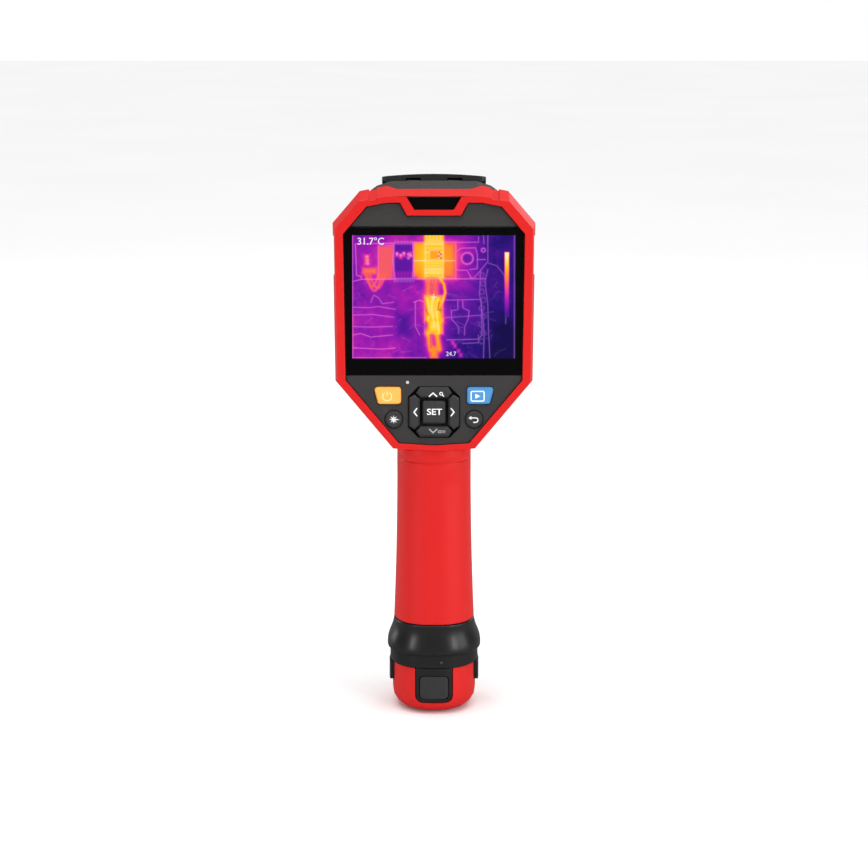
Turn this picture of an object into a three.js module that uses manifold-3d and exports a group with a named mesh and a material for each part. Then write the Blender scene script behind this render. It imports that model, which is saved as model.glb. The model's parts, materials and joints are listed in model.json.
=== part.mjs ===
// Handheld thermal imaging camera: a tilted head with a 3.5 inch display and keypad on the user's side,
// a lens turret with a flip-up cover on the target side, and a pistol grip that ends in a slide-out battery.
// Millimetres. +Z runs up the grip, +Y points from the user to the target, +X is to the user's right.
// The origin is the centre of the battery's flat foot.
import * as THREE from "three";
import { mergeVertices } from "three/addons/utils/BufferGeometryUtils.js";
import Module from "manifold-3d";

const wasm = await Module();
wasm.setup();

// ---------------------------------------------------------------- driving dimensions

const GAP = 0.3; // between pieces that touch
const WALL = 2.3; // moulded shells

const BASE = { height: 21.6, halfWidth: 18.6, halfDepth: 20.2, edge: 8, floor: 2.6 };
const COLLAR = { height: 19.6, bulge: 3, ring: 2.2, ringHeight: 5.5 }; // bulge and ring: outside the grip
const GRIP = { length: 70, bottomHalfWidth: 17.9, topHalfWidth: 16.35, bottomRear: 20.4, topRear: 18.6 };
const GRIP_FRONT = { bottom: 19.4, top: 17.2 };
const GRIP_SHOULDER = 8; // where the grip starts to narrow under the head
const GRIP_SPLIT = 3; // the plane between the rear and the front grip shell
const NECK = { rear: 20.6, front: 20.5, chin: 34, chinRise: 34 };

const SCREEN_TILT = THREE.MathUtils.degToRad(10); // the head leans back from the grip's axis
const HEAD_OVERHANG = 3.6; // how far the keypad's foot stands behind the grip
const HEAD_RISE = 9.1; // from the grip's top to the head's lower edge, along the screen
const DISPLAY = { width: 70.8, height: 53.2, module: 3.2, frame: 1.4, frameFoot: 3.2, frameTop: 2.1 };
const GLASS = { side: 3.6, bottom: 7.5, top: 3.9, thickness: 1.2 };
const KEYPAD_HEIGHT = 30.3; // from the panel's lower edge to the glass
const FOREHEAD = 10.1; // from the glass to the panel's upper edge
const PANEL = 2.4; // the keypad plate's thickness
const BEZEL = { side: 4.8, hip: 3.8, bottom: 2.8, shoulder: 7.2, top: 7.9 };
const BUMPER = { proud: 1.2, ridgeDepth: 8.6, depth: 20, draft: 1.2 };
const FLANK = { top: 5.1, shoulder: 3.2, side: 1.3, hip: 0.8, bottom: 0.5 }; // bevel from ridge to face
const SHOULDER = { across: 11.9, down: 2.1, up: 2 }; // the cut top corners
const SADDLE = { floor: 16, rim: 21.5, deep: 1.5 }; // the dip in the bumper's top edge
const GRASP = { deep: 0.7, from: 4, to: 15, foot: 20.5, top: 3.5 }; // the recess in each flank
const NOTCH = { inner: 24.9, outer: 28.3 }; // a shallow step across the top edge, as deep as the recess
const BADGE = { foot: 8.6, top: 12, low: 3.1, high: 2.7, deep: 2 };
const TAB = { foot: 11.7, top: 16, low: 5.5, high: 2.4 }; // the red frame round the badge
const SEAL = 0.8;

const FRONT_FACE = 38; // where the head ends and the turret starts
const FRONT = { height: 82, inset: 11, hip: 60, shoulder: 16, rise: 1.2 };
const LENS = { radius: 12.4, barrel: 15, ring: 0.6, flange: 3, length: 22, thickness: 3.6, crown: 1.6 };
const TURRET = { side: 6.3, top: 1.4, foot: 2.8, length: 8, corner: 5, drop: 3.9, rim: 3 };
const SENSOR_ROW = { gap: 2.2, spread: 11.5, camera: 3.2, lamp: 4, laser: 2 };
const SHUTTER = { half: 13, thickness: 3, aperture: 6, flag: 0.6, reach: 9.5, pin: 1, angle: 60 };
const SENSOR = { half: 9, window: 6.5, thickness: 5, board: 1.6, boardHalf: 14 };

const COVER = { thickness: 2, crown: 1.2, skirt: 3, wall: 1.7, openAngle: 77, clearance: 0.6, lip: 1.2 };
const KNUCKLE = { radius: 2.2, middle: 6, ear: 6, gap: 0.4 }; // middle: half the width of the cover's
const PIN = 1.2;
const RUNNING = 0.15; // radial clearance round a pin

const KEY_TRAVEL = 0.8;
const KEY_PROUD = 1.1;
const KEY_GAP = 0.35;
const KEY_ROOT = 0.9; // how far a key reaches behind the panel
const DPAD = { rise: 14.5, halfWidth: 11, halfHeight: 10.8, corner: 4.4, set: 4.9, channel: 1.3 };
const ROUND_KEY = { radius: 3.75, rise: 11.4, out: 17.4 };
const CORNER_KEY = { beside: 3.3, margin: 13.4, height: 7.3, slant: 1.9, rise: 25.4, corner: 1.3 };
const STATUS_LED = { radius: 0.75, out: 0.5, drop: 2.9 };

const TRIGGER = { halfWidth: 6.5, length: 27, reach: 7, gap: 0.5, pivot: 6 };
const SWITCH = { halfWidth: 6, depth: 6, height: 7.6, drop: 6.4, plunger: 0.6 };
const CELL = { radius: 9.2, length: 65, foot: 5, slack: 0.3, spring: 2.6 };
const CASE_WALL = 1.5;
const TERMINAL = { thickness: 2, blade: 0.8, spread: 3, width: 3, depth: 5 };
const SOCKET = { halfWidth: 10.5, halfDepth: 7, height: 4, gap: 0.5 };
const PORT = { halfWidth: 8.4, foot: 5.4, flapHalfWidth: 6.4, flapFoot: 7.3, flapTop: 18 };
const USB = { halfWidth: 4.5, height: 3.2, wall: 0.35, setBack: 3.4, tongue: 0.7 };
const LATCH = { halfWidth: 8, foot: 11.4, proud: 1.5, travel: 1.2, arm: 10, thickness: 1.5 };
const CHARGE_LED = { radius: 0.6, out: 3.2, rise: 2.6 };
const SCREW = { head: 2.6, headHeight: 1.8, shank: 1.3, length: 9 };
const GRIP_SCREW = { head: 2.1, boss: 3.2, post: 2, seat: 7.4, length: 11, rise: 8 };

// ---------------------------------------------------------------- worked out from those

const mm = (v) => new THREE.Vector3(...v);
const gripFoot = BASE.height + COLLAR.height + 2 * GAP;
const headFoot = gripFoot + GRIP.length; // height of the head frame's origin
const headRear = -(GRIP.bottomRear + HEAD_OVERHANG);
const panelFoot = HEAD_RISE + BEZEL.bottom; // heights up the screen from the head frame's origin
const glassFoot = panelFoot + KEYPAD_HEIGHT;
const displayFoot = glassFoot + GLASS.bottom;
const displayTop = displayFoot + DISPLAY.height;
const glassTop = displayTop + GLASS.top;
const panelTop = glassTop + FOREHEAD;
const crest = panelTop + BEZEL.top;
const headHalfWidth = DISPLAY.width / 2 + GLASS.side + BEZEL.side + 0.5;
const dpadCentre = panelFoot + DPAD.rise;
const roundKeyHeight = panelFoot + ROUND_KEY.rise;
const cornerKeyInner = DPAD.halfWidth + CORNER_KEY.beside;
const cornerKeyOuter = headHalfWidth - BEZEL.side - CORNER_KEY.margin;
const cornerKeyTop = panelFoot + CORNER_KEY.rise;
const keyBack = PANEL + KEY_ROOT;
const membraneFront = keyBack + KEY_TRAVEL + 0.5;

// The head frame: x to the right, y into the screen, z up the screen.
const headMatrix = new THREE.Matrix4()
  .makeRotationX(-SCREEN_TILT)
  .setPosition(0, headRear, headFoot);

const crestZ = mm([0, BUMPER.depth, crest]).applyMatrix4(headMatrix).z; // the top of the head's front
const turretHalfWidth = LENS.barrel + TURRET.side;
const turretTop = crestZ - TURRET.drop;
const lensHeight = turretTop - TURRET.top - LENS.barrel;
const sensorHeight = lensHeight - LENS.barrel - LENS.ring - SENSOR_ROW.gap - SENSOR_ROW.lamp;
const turretFoot = sensorHeight - SENSOR_ROW.lamp - TURRET.foot;
const turretFace = FRONT_FACE + GAP + TURRET.length;
const barrelFront = turretFace - 2.2;
const shutterRear = barrelFront - LENS.length - GAP - SHUTTER.thickness;
const flagFront = shutterRear - 0.4;
const sensorFront = flagFront - SHUTTER.flag - 0.8;
const shutterPivot = [SHUTTER.reach, lensHeight - SHUTTER.reach];
const hinge = { y: turretFace - 0.5, z: turretTop + KNUCKLE.radius + 0.6 };

const triggerTop = headFoot + 2;
const triggerFoot = triggerTop - TRIGGER.length;
const triggerPivot = { y: GRIP_FRONT.top - TRIGGER.pivot, z: triggerTop - 1 };
const caseRadius = CELL.radius + CELL.slack + CASE_WALL;
const caseTop = CELL.foot + CELL.length + CELL.spring;

// ---------------------------------------------------------------- materials

const plastic = (color, roughness) => new THREE.MeshStandardMaterial({ color, roughness, metalness: 0 });
const metal = (color, roughness) => new THREE.MeshStandardMaterial({ color, roughness, metalness: 1 });
const RED = plastic(0xd8201c, 0.45);
const CHARCOAL = plastic(0x2c2b2a, 0.6);
const BLACK = plastic(0x1c1c1c, 0.55);
const RUBBER = plastic(0x222120, 0.85);
const GLOSS = plastic(0x040404, 0.08);
const ORANGE = plastic(0xf2a93a, 0.5);
const BLUE = plastic(0x3f86c4, 0.5);
const BOARD = plastic(0x1d5a34, 0.6);
const STEEL = metal(0xb8bcc0, 0.35);
const GERMANIUM = metal(0x3b3f4a, 0.12);
const SILVER = metal(0xc8c8c8, 0.3);
const WRAP = plastic(0x2f62a8, 0.4);
const CLEAR = plastic(0xdfe6ea, 0.05);

// ---------------------------------------------------------------- helpers

function toSolid(geometry) {
  const bare = geometry.index ? geometry.toNonIndexed() : geometry;
  const positions = new THREE.BufferGeometry().setAttribute("position", bare.getAttribute("position"));
  const merged = mergeVertices(positions, 1e-4);
  return new wasm.Manifold(
    new wasm.Mesh({
      numProp: 3,
      vertProperties: merged.attributes.position.array,
      triVerts: new Uint32Array(merged.index.array),
    }),
  );
}

function toGeometry(solid) {
  const { numProp, numVert, triVerts, vertProperties } = solid.getMesh();
  const positions = new Float32Array(numVert * 3);
  for (let i = 0; i < numVert; i++)
    positions.set(vertProperties.subarray(i * numProp, i * numProp + 3), i * 3);
  const geometry = new THREE.BufferGeometry();
  geometry.setAttribute("position", new THREE.BufferAttribute(positions, 3));
  geometry.setIndex(new THREE.BufferAttribute(triVerts, 1));
  return geometry;
}

// A named mesh from a solid.
function piece(name, solid, material) {
  const mesh = new THREE.Mesh(toGeometry(solid), material);
  mesh.name = name;
  return mesh;
}

const slab = 400; // larger than the object, for cutting planes
const headSpace = (solid) => solid.transform(headMatrix.elements);
const mirrorX = (solid) => solid.mirror([1, 0, 0]);
const vectors = (points) => points.map(([a, b]) => new THREE.Vector2(a, b));

// An outline in x and z, extruded along y.
function prismY(points, from, to) {
  const shape = new THREE.Shape(vectors(points));
  const geometry = new THREE.ExtrudeGeometry(shape, { depth: to - from, bevelEnabled: false });
  return toSolid(geometry.rotateX(Math.PI / 2).translate(0, to, 0));
}

// An outline in y and z, extruded along x.
function prismX(points, from, to) {
  const shape = new THREE.Shape(vectors(points));
  const geometry = new THREE.ExtrudeGeometry(shape, { depth: to - from, bevelEnabled: false });
  const turn = new THREE.Matrix4().set(0, 0, 1, from, 1, 0, 0, 0, 0, 1, 0, 0, 0, 0, 0, 1);
  return toSolid(geometry.applyMatrix4(turn));
}

// A block between two corners.
function block(low, high) {
  const [w, d, h] = high.map((value, i) => value - low[i]);
  const geometry = new THREE.BoxGeometry(w, d, h);
  return toSolid(geometry.translate(low[0] + w / 2, low[1] + d / 2, low[2] + h / 2));
}

// A round bar along y, or along x or z when turned.
function bar(axis, radius, from, to, [a, b], segments = 24) {
  const geometry = new THREE.CylinderGeometry(radius, radius, to - from, segments);
  geometry.translate(0, (from + to) / 2, 0);
  if (axis === "x") geometry.rotateZ(-Math.PI / 2).translate(0, a, b);
  if (axis === "y") geometry.translate(a, 0, b);
  if (axis === "z") geometry.rotateX(Math.PI / 2).translate(a, b, 0);
  return toSolid(geometry);
}

// A solid skinned over rings of points, each turning anticlockwise when the next ring is nearer the eye.
function loft(rings) {
  const count = rings[0].length;
  const last = (rings.length - 1) * count;
  const index = [];
  for (let r = 0; r < rings.length - 1; r++)
    for (let i = 0; i < count; i++) {
      const a = r * count + i;
      const b = r * count + ((i + 1) % count);
      index.push(a, b, b + count, a, b + count, a + count);
    }
  for (let i = 1; i < count - 1; i++) index.push(0, i + 1, i, last, last + i, last + i + 1);
  const geometry = new THREE.BufferGeometry().setFromPoints(rings.flat());
  return toSolid(geometry.setIndex(index));
}

// A rounded-rectangle ring round the grip's axis at one height, with its own rear and front depth.
const ROUND = 2;
const SQUARISH = 2.5;
const RING_POINTS = 32;
function gripRing(z, halfWidth, rear, front, squareness = SQUARISH) {
  return Array.from({ length: RING_POINTS }, (_, i) => {
    const angle = (i / RING_POINTS) * 2 * Math.PI;
    const soften = (v) => Math.sign(v) * Math.abs(v) ** (2 / squareness);
    const depth = Math.sin(angle) < 0 ? rear : front;
    return mm([halfWidth * soften(Math.cos(angle)), depth * soften(Math.sin(angle)), z]);
  });
}

function roundedRect(left, bottom, right, top, radius, steps = 3) {
  const corners = [
    [right - radius, bottom + radius, -Math.PI / 2],
    [right - radius, top - radius, 0],
    [left + radius, top - radius, Math.PI / 2],
    [left + radius, bottom + radius, Math.PI],
  ];
  return corners.flatMap(([x, y, start]) =>
    Array.from({ length: steps + 1 }, (_, i) => {
      const angle = start + (i / steps) * (Math.PI / 2);
      return [x + radius * Math.cos(angle), y + radius * Math.sin(angle)];
    }),
  );
}

const circle = (x, y, radius, count = 24) =>
  Array.from({ length: count }, (_, i) => {
    const angle = (i / count) * 2 * Math.PI;
    return [x + radius * Math.cos(angle), y + radius * Math.sin(angle)];
  });

// Moves each edge of a convex anticlockwise outline inwards by its own distance.
function inset(points, distances) {
  const along = (i) => {
    const [a, b] = [points[i], points[(i + 1) % points.length]];
    const length = Math.hypot(b[0] - a[0], b[1] - a[1]);
    const direction = [(b[0] - a[0]) / length, (b[1] - a[1]) / length];
    const shift = typeof distances === "number" ? distances : distances[i];
    return { at: [a[0] - direction[1] * shift, a[1] + direction[0] * shift], direction };
  };
  return points.map((_, i) => {
    const p = along((i + points.length - 1) % points.length);
    const q = along(i);
    const cross = p.direction[0] * q.direction[1] - p.direction[1] * q.direction[0];
    const [dx, dy] = [q.at[0] - p.at[0], q.at[1] - p.at[1]];
    const t = (dx * q.direction[1] - dy * q.direction[0]) / cross;
    return [p.at[0] + t * p.direction[0], p.at[1] + t * p.direction[1]];
  });
}

// Gives each corner of a convex outline its radius.
function rounded(points, radius, steps = 4) {
  return points.flatMap(([x, y], i) => {
    const towards = ([px, py]) => new THREE.Vector2(px - x, py - y).normalize();
    const before = towards(points[(i + points.length - 1) % points.length]);
    const after = towards(points[(i + 1) % points.length]);
    const half = Math.acos(before.dot(after)) / 2;
    const middle = before.clone().add(after).setLength(radius / Math.sin(half));
    const reach = radius / Math.tan(half);
    const start = before.multiplyScalar(reach).sub(middle).angle();
    const turn = after.multiplyScalar(reach).sub(middle).angle() - start;
    const sweep = THREE.MathUtils.euclideanModulo(turn + Math.PI, 2 * Math.PI) - Math.PI;
    return Array.from({ length: steps + 1 }, (_, k) => {
      const angle = start + (sweep * k) / steps;
      return [x + middle.x + radius * Math.cos(angle), y + middle.y + radius * Math.sin(angle)];
    });
  });
}

// The right half of an outline, from the foot to the top, joined to its mirror image.
const mirrored = (half) => [...half, ...half.slice(1, -1).reverse().map(([x, y]) => [-x, y])];
const edges = (half) => [...half, ...[...half].reverse()];

// ---------------------------------------------------------------- head outlines

// The widest line round the head, at the bumper's ridge.
const ridge = mirrored([
  [0, HEAD_RISE],
  [GRIP.topHalfWidth + 1.6, HEAD_RISE + 1.1],
  [headHalfWidth - 1.15, glassFoot - 2.2],
  [headHalfWidth, glassTop + SHOULDER.up],
  [headHalfWidth - SHOULDER.across, crest - SHOULDER.down],
  [SADDLE.rim, crest],
  [0, crest + 0.2],
]);
const panelOutline = inset(
  ridge,
  edges([BEZEL.bottom, BEZEL.hip, BEZEL.side, BEZEL.shoulder, BEZEL.top, BEZEL.top]),
);
const faceOutline = inset(
  ridge,
  edges([FLANK.bottom, FLANK.hip, FLANK.side, FLANK.shoulder, FLANK.top, FLANK.top]),
);
const backOutline = inset(ridge, BUMPER.draft);
const atDepth = (outline, depth) => outline.map(([x, h]) => mm([x, depth, h])).reverse();

// ---------------------------------------------------------------- head, user's side

const cornerKeyOutline = rounded(
  [
    [cornerKeyInner, cornerKeyTop - CORNER_KEY.height],
    [cornerKeyOuter - CORNER_KEY.slant, cornerKeyTop - CORNER_KEY.height],
    [cornerKeyOuter, cornerKeyTop],
    [cornerKeyInner, cornerKeyTop],
  ],
  CORNER_KEY.corner,
);
const flipped = (outline) => outline.map(([x, h]) => [-x, h]).reverse();
const dpadOutline = (grow) => {
  const [w, h, c] = [DPAD.halfWidth + grow, DPAD.halfHeight + grow, DPAD.corner + grow * 0.4];
  const half = [
    [w - c, -h],
    [w, -h + c],
    [w, h - c],
    [w - c, h],
  ];
  const round = [...half, ...half.map(([x, y]) => [-x, -y])];
  return round.map(([x, y]) => [x, y + dpadCentre]);
};
const roundKey = (side, grow) =>
  circle(side * ROUND_KEY.out, roundKeyHeight, ROUND_KEY.radius + grow);
const statusLed = [-(DPAD.halfWidth + STATUS_LED.out), glassFoot - STATUS_LED.drop];

// The red frame's tab that dips into the panel, and the dark plate inside it.
const trapezoid = ({ foot, top, low, high }, grow) => [
  [-foot - grow, panelTop - low - grow],
  [foot + grow, panelTop - low - grow],
  [top + grow, panelTop + high + grow],
  [-top - grow, panelTop + high + grow],
];

function rearHousing() {
  const outer = prismY(inset(panelOutline, GAP), 0, BUMPER.depth - 3 * GAP - SEAL);
  const cavity = prismY(inset(panelOutline, GAP + WALL), PANEL, slab);
  const glassBed = block([-slab, -1, glassFoot], [slab, GLASS.thickness + GAP, glassTop]);
  const half = DISPLAY.width / 2 + DISPLAY.frame;
  const window = block(
    [-half, -1, displayFoot - DISPLAY.frameFoot],
    [half, slab, displayTop + DISPLAY.frameTop],
  );
  const keyholes = [
    dpadOutline(KEY_GAP),
    inset(cornerKeyOutline, -KEY_GAP),
    inset(flipped(cornerKeyOutline), -KEY_GAP),
    roundKey(1, KEY_GAP),
    roundKey(-1, KEY_GAP),
    circle(...statusLed, STATUS_LED.radius + GAP / 2, 12),
  ];
  return keyholes
    .reduce((shell, hole) => shell.subtract(prismY(hole, -1, slab)), outer.subtract(cavity))
    .subtract(glassBed)
    .subtract(window)
    .subtract(prismY(trapezoid(TAB, GAP), -slab, PANEL));
}

// The bumper's outside, or the same skin sunk evenly, for the floors of its recesses.
function bumperSkin(sunk) {
  return loft([
    atDepth(inset(faceOutline, sunk), sunk / 2 - BUMPER.proud),
    atDepth(inset(ridge, sunk), BUMPER.ridgeDepth),
    atDepth(inset(backOutline, sunk), BUMPER.depth + sunk),
  ]);
}

function headBumper() {
  const saddle = [
    [-SADDLE.floor, crest - SADDLE.deep],
    [SADDLE.floor, crest - SADDLE.deep],
    [SADDLE.rim, crest + 0.5],
    [SADDLE.rim, crest + 5],
    [-SADDLE.rim, crest + 5],
    [-SADDLE.rim, crest + 0.5],
  ];
  const grasp = block(
    [headHalfWidth / 2, GRASP.from, glassTop - GRASP.foot],
    [slab, GRASP.to, glassTop - GRASP.top],
  );
  const notch = block([NOTCH.inner, -slab, panelTop], [NOTCH.outer, slab, slab]);
  const recesses = grasp.add(notch).subtract(bumperSkin(GRASP.deep));
  return bumperSkin(0)
    .subtract(prismY(panelOutline, -slab, slab))
    .add(prismY(trapezoid(TAB, 0), -BUMPER.proud, PANEL - GAP))
    .subtract(prismY(trapezoid(BADGE, 0), -slab, BADGE.deep - BUMPER.proud))
    .subtract(prismY(saddle, -slab, slab))
    .subtract(recesses)
    .subtract(mirrorX(recesses));
}

function displayGlass() {
  const sheet = prismY(inset(panelOutline, 2 * GAP), 0, GLASS.thickness);
  return sheet.intersect(block([-slab, -1, glassFoot + GAP], [slab, slab, glassTop - GAP]));
}

function lcdModule() {
  const half = DISPLAY.width / 2 + DISPLAY.frame - GAP;
  const front = GLASS.thickness + 2 * GAP;
  const foot = displayFoot - DISPLAY.frameFoot + GAP;
  const top = displayTop + DISPLAY.frameTop - GAP;
  return prismY(roundedRect(-half, foot, half, top, 0.8, 2), front, front + DISPLAY.module);
}

// Keypad sheets follow the panel's outline below the glass.
function keypadSheet(front, thickness, shrink) {
  const sheet = prismY(inset(panelOutline, 2 * GAP + WALL + shrink), front, front + thickness);
  const top = displayFoot - DISPLAY.frameFoot - GAP;
  return sheet.intersect(block([-slab, -slab, 0], [slab, slab, top]));
}

// The main board stands behind the keypad and the display, with its larger chips facing the lens.
function mainBoard() {
  const front = membraneFront + 4.2;
  const board = prismY(inset(panelOutline, 2 * GAP + WALL + 1.5), front, front + 1.6);
  const chips = [
    [-12, displayFoot + 18, 15, 15, 1.6],
    [12, displayFoot + 20, 11, 13, 1.4],
    [-4, displayFoot + 4, 9, 7, 1.1],
    [18, displayFoot + 2, 8, 8, 1.8],
  ];
  return chips.reduce(
    (made, [x, h, w, t, d]) =>
      made.add(block([x - w / 2, front + 1, h - t / 2], [x + w / 2, front + 1.6 + d, h + t / 2])),
    board,
  );
}

function housingSeal() {
  const front = BUMPER.depth - 2 * GAP - SEAL;
  return prismY(inset(panelOutline, 2 * GAP), front, front + SEAL).subtract(
    prismY(inset(panelOutline, WALL), -slab, slab),
  );
}

// ---------------------------------------------------------------- keys

function key(outline, crown = 0.5) {
  const cap = prismY(outline, -(KEY_PROUD - crown), keyBack);
  return cap.add(prismY(inset(outline, 0.5), -KEY_PROUD, keyBack));
}

// A key with a flange that stops it from falling out of the panel.
function flangedKey(outline) {
  return key(outline).add(prismY(inset(outline, -(KEY_GAP + 0.5)), PANEL + GAP, keyBack));
}

// One quarter of the octagonal ring round the centre key.
function arrowKey(quarterTurns) {
  const [w, h, c] = [DPAD.halfWidth, DPAD.halfHeight, DPAD.corner];
  const sideways = quarterTurns % 2 === 1;
  const [across, reach] = sideways ? [h, w] : [w, h];
  const inner = DPAD.set + DPAD.channel;
  const half = DPAD.channel / 2;
  const nip = 0.35; // taken off the corners next to the channel
  const slope = (across - c / 2 - half) / (reach - c / 2);
  const outline = [
    [-inner * slope, inner],
    [inner * slope, inner],
    [across - c / 2 - half - nip, reach - c / 2 - nip],
    [across - c - nip, reach],
    [-(across - c - nip), reach],
    [-(across - c / 2 - half - nip), reach - c / 2 - nip],
  ];
  const [cos, sin] = [
    [1, 0],
    [0, 1],
    [-1, 0],
    [0, -1],
  ][quarterTurns];
  return key(outline.map(([x, y]) => [x * cos - y * sin, x * sin + y * cos + dpadCentre]));
}

function setKey() {
  const s = DPAD.set;
  return key(roundedRect(-s, dpadCentre - s, s, dpadCentre + s, 0.9, 2));
}

// ---------------------------------------------------------------- head, target side

const frontTop = crestZ + FRONT.rise;
const frontHalfWidth = headHalfWidth - FRONT.inset;
const frontOutline = mirrored([
  [0, frontTop - FRONT.height],
  [GRIP.topHalfWidth + 1, frontTop - FRONT.height + 0.5],
  [frontHalfWidth, frontTop - FRONT.hip],
  [frontHalfWidth, frontTop - FRONT.shoulder],
  [turretHalfWidth + 4.2, frontTop - 2.2],
  [turretHalfWidth - 2, frontTop - 0.3],
  [0, frontTop],
]);
const partingDepth = BUMPER.depth + GAP;

// The chin that carries the head's front down to the grip.
function neck(shrink) {
  const ring = (rise, front) =>
    gripRing(
      headFoot - GRIP_SHOULDER + rise,
      GRIP.topHalfWidth - shrink,
      NECK.rear - shrink,
      front - shrink,
    );
  return loft([ring(0, NECK.front), ring(10, NECK.front), ring(10 + NECK.chinRise, NECK.chin)]);
}

function headFront(shrink, overshoot) {
  const rear = inset(backOutline, shrink ? shrink + BEZEL.side - BUMPER.draft : 0.4);
  const rings = [
    atDepth(rear, partingDepth - overshoot).map((p) => p.applyMatrix4(headMatrix)),
    inset(frontOutline, shrink).map(([x, z]) => mm([x, FRONT_FACE - shrink, z])).reverse(),
  ];
  const behindParting = headSpace(
    block([-slab, partingDepth - overshoot, HEAD_RISE - overshoot], [slab, slab, slab]),
  );
  return loft(rings).add(neck(shrink).intersect(behindParting));
}

const screwX = (turretHalfWidth + frontHalfWidth) / 2;
const screwPlaces = [19, 58].flatMap((drop) => [
  [screwX, frontTop - drop],
  [-screwX, frontTop - drop],
]);

function frontHousing() {
  let shell = headFront(0, 0).subtract(headFront(WALL, 2));
  for (const place of screwPlaces) {
    const depth = SCREW.length + SCREW.headHeight + 2;
    shell = shell
      .add(bar("y", SCREW.head + 1.2, FRONT_FACE - depth, FRONT_FACE - 0.5, place, 16))
      .subtract(bar("y", SCREW.shank + GAP, FRONT_FACE - depth - 1, slab, place, 12))
      .subtract(bar("y", SCREW.head + GAP, FRONT_FACE - SCREW.headHeight - GAP, slab, place, 16));
  }
  return shell.subtract(prismY(turretOutline(TURRET.rim), FRONT_FACE - 2 * WALL, slab));
}

function turretOutline(shrink) {
  const half = turretHalfWidth - shrink;
  return roundedRect(-half, turretFoot + shrink, half, turretTop - shrink, TURRET.corner - shrink / 2);
}

function lensBezel() {
  const rear = FRONT_FACE + GAP;
  const inside = KNUCKLE.middle + KNUCKLE.gap;
  const outside = inside + KNUCKLE.ear;
  const ear = bar("x", KNUCKLE.radius, inside, outside, [hinge.y, hinge.z], 20).add(
    block([inside, hinge.y - KNUCKLE.radius, turretTop - 2], [outside, turretFace, hinge.z]),
  );
  const holes = [
    [LENS.barrel + LENS.ring + 0.4, 0, lensHeight],
    [SENSOR_ROW.camera + GAP, -SENSOR_ROW.spread, sensorHeight],
    [SENSOR_ROW.lamp + GAP, SENSOR_ROW.spread, sensorHeight],
    [SENSOR_ROW.laser + GAP, 0, sensorHeight],
  ];
  return holes
    .reduce(
      (plate, [radius, ...place]) => plate.subtract(bar("y", radius, rear - 1, slab, place, 40)),
      prismY(turretOutline(0), rear, turretFace),
    )
    .add(ear)
    .add(mirrorX(ear))
    .subtract(bar("x", PIN + RUNNING, -slab, slab, [hinge.y, hinge.z], 16));
}

// A tube with a square flange that sits behind the turret's plate.
function lensBarrel() {
  const flange = turretOutline(TURRET.rim + 2 * GAP);
  return bar("y", LENS.barrel, barrelFront - LENS.length, barrelFront, [0, lensHeight], 40)
    .add(bar("y", LENS.barrel + LENS.flange, FRONT_FACE - 3.4, FRONT_FACE - 1.4, [0, lensHeight], 40))
    .intersect(prismY(flange, -slab, slab))
    .subtract(bar("y", LENS.radius + RUNNING, barrelFront - 8, slab, [0, lensHeight], 40))
    .subtract(bar("y", LENS.radius - 3, -slab, slab, [0, lensHeight], 32));
}

// A turned piece about the lens's axis, from a profile of radius and depth.
function turned(profile, [x, z], segments) {
  const geometry = new THREE.LatheGeometry(vectors(profile), segments);
  return toSolid(geometry.translate(x, 0, z));
}

function germaniumLens() {
  const front = turretFace - 4;
  const steps = [0, 0.35, 0.7, 1];
  const bulge = (k) => LENS.crown * (1 - k * k);
  const back = steps.map((k) => [LENS.radius * k, front - LENS.thickness + bulge(k) * 0.5]);
  const face = [...steps].reverse().map((k) => [LENS.radius * k, front + bulge(k)]);
  return turned([...back, ...face], [0, lensHeight], 36);
}

function lensRing() {
  const front = turretFace - 0.4;
  const outer = LENS.barrel + LENS.ring;
  const profile = [
    [LENS.radius - 0.9, front - 1.5],
    [outer, front - 1.5],
    [outer, front - 0.5],
    [LENS.barrel + 0.1, front],
    [LENS.radius + 1, front],
    [LENS.radius - 0.9, front - 1.5],
  ];
  return turned(profile, [0, lensHeight], 40);
}

function shutterHousing() {
  const front = shutterRear + SHUTTER.thickness;
  const half = SHUTTER.half;
  return block([-half, shutterRear, lensHeight - half], [half, front, lensHeight + half - 2])
    .subtract(bar("y", SHUTTER.aperture, -slab, slab, [0, lensHeight], 24))
    .add(bar("y", SHUTTER.pin, flagFront - SHUTTER.flag - 0.3, shutterRear + 1, shutterPivot, 12));
}

// A thin paddle parked beside the aperture, which swings over it to calibrate the sensor.
function shutterFlag() {
  const rear = flagFront - SHUTTER.flag;
  const reach = Math.hypot(SHUTTER.reach, SHUTTER.reach);
  return block([-1.6, rear, 0], [1.6, flagFront, reach - 4])
    .add(bar("y", SHUTTER.pin + 1.2, rear, flagFront, [0, 0], 16))
    .add(bar("y", SHUTTER.aperture + GAP, rear, flagFront, [0, reach], 20))
    .subtract(bar("y", SHUTTER.pin + RUNNING, -slab, slab, [0, 0], 12))
    .rotate([0, SHUTTER.angle - 45, 0])
    .translate([shutterPivot[0], 0, shutterPivot[1]]);
}

function sensorModule() {
  const { half, window, thickness } = SENSOR;
  return block(
    [-half - 1, sensorFront - thickness, lensHeight - half],
    [half + 1, sensorFront - 1, lensHeight + half],
  ).add(block([-window, sensorFront - 2, lensHeight - window], [window, sensorFront, lensHeight + window]));
}

function sensorBoard() {
  const front = sensorFront - SENSOR.thickness - GAP;
  const half = SENSOR.boardHalf;
  return block([-half, front - SENSOR.board, lensHeight - half], [half, front, lensHeight + SENSOR.half]);
}

const rowPlace = (side) => [side * SENSOR_ROW.spread, sensorHeight];

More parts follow.
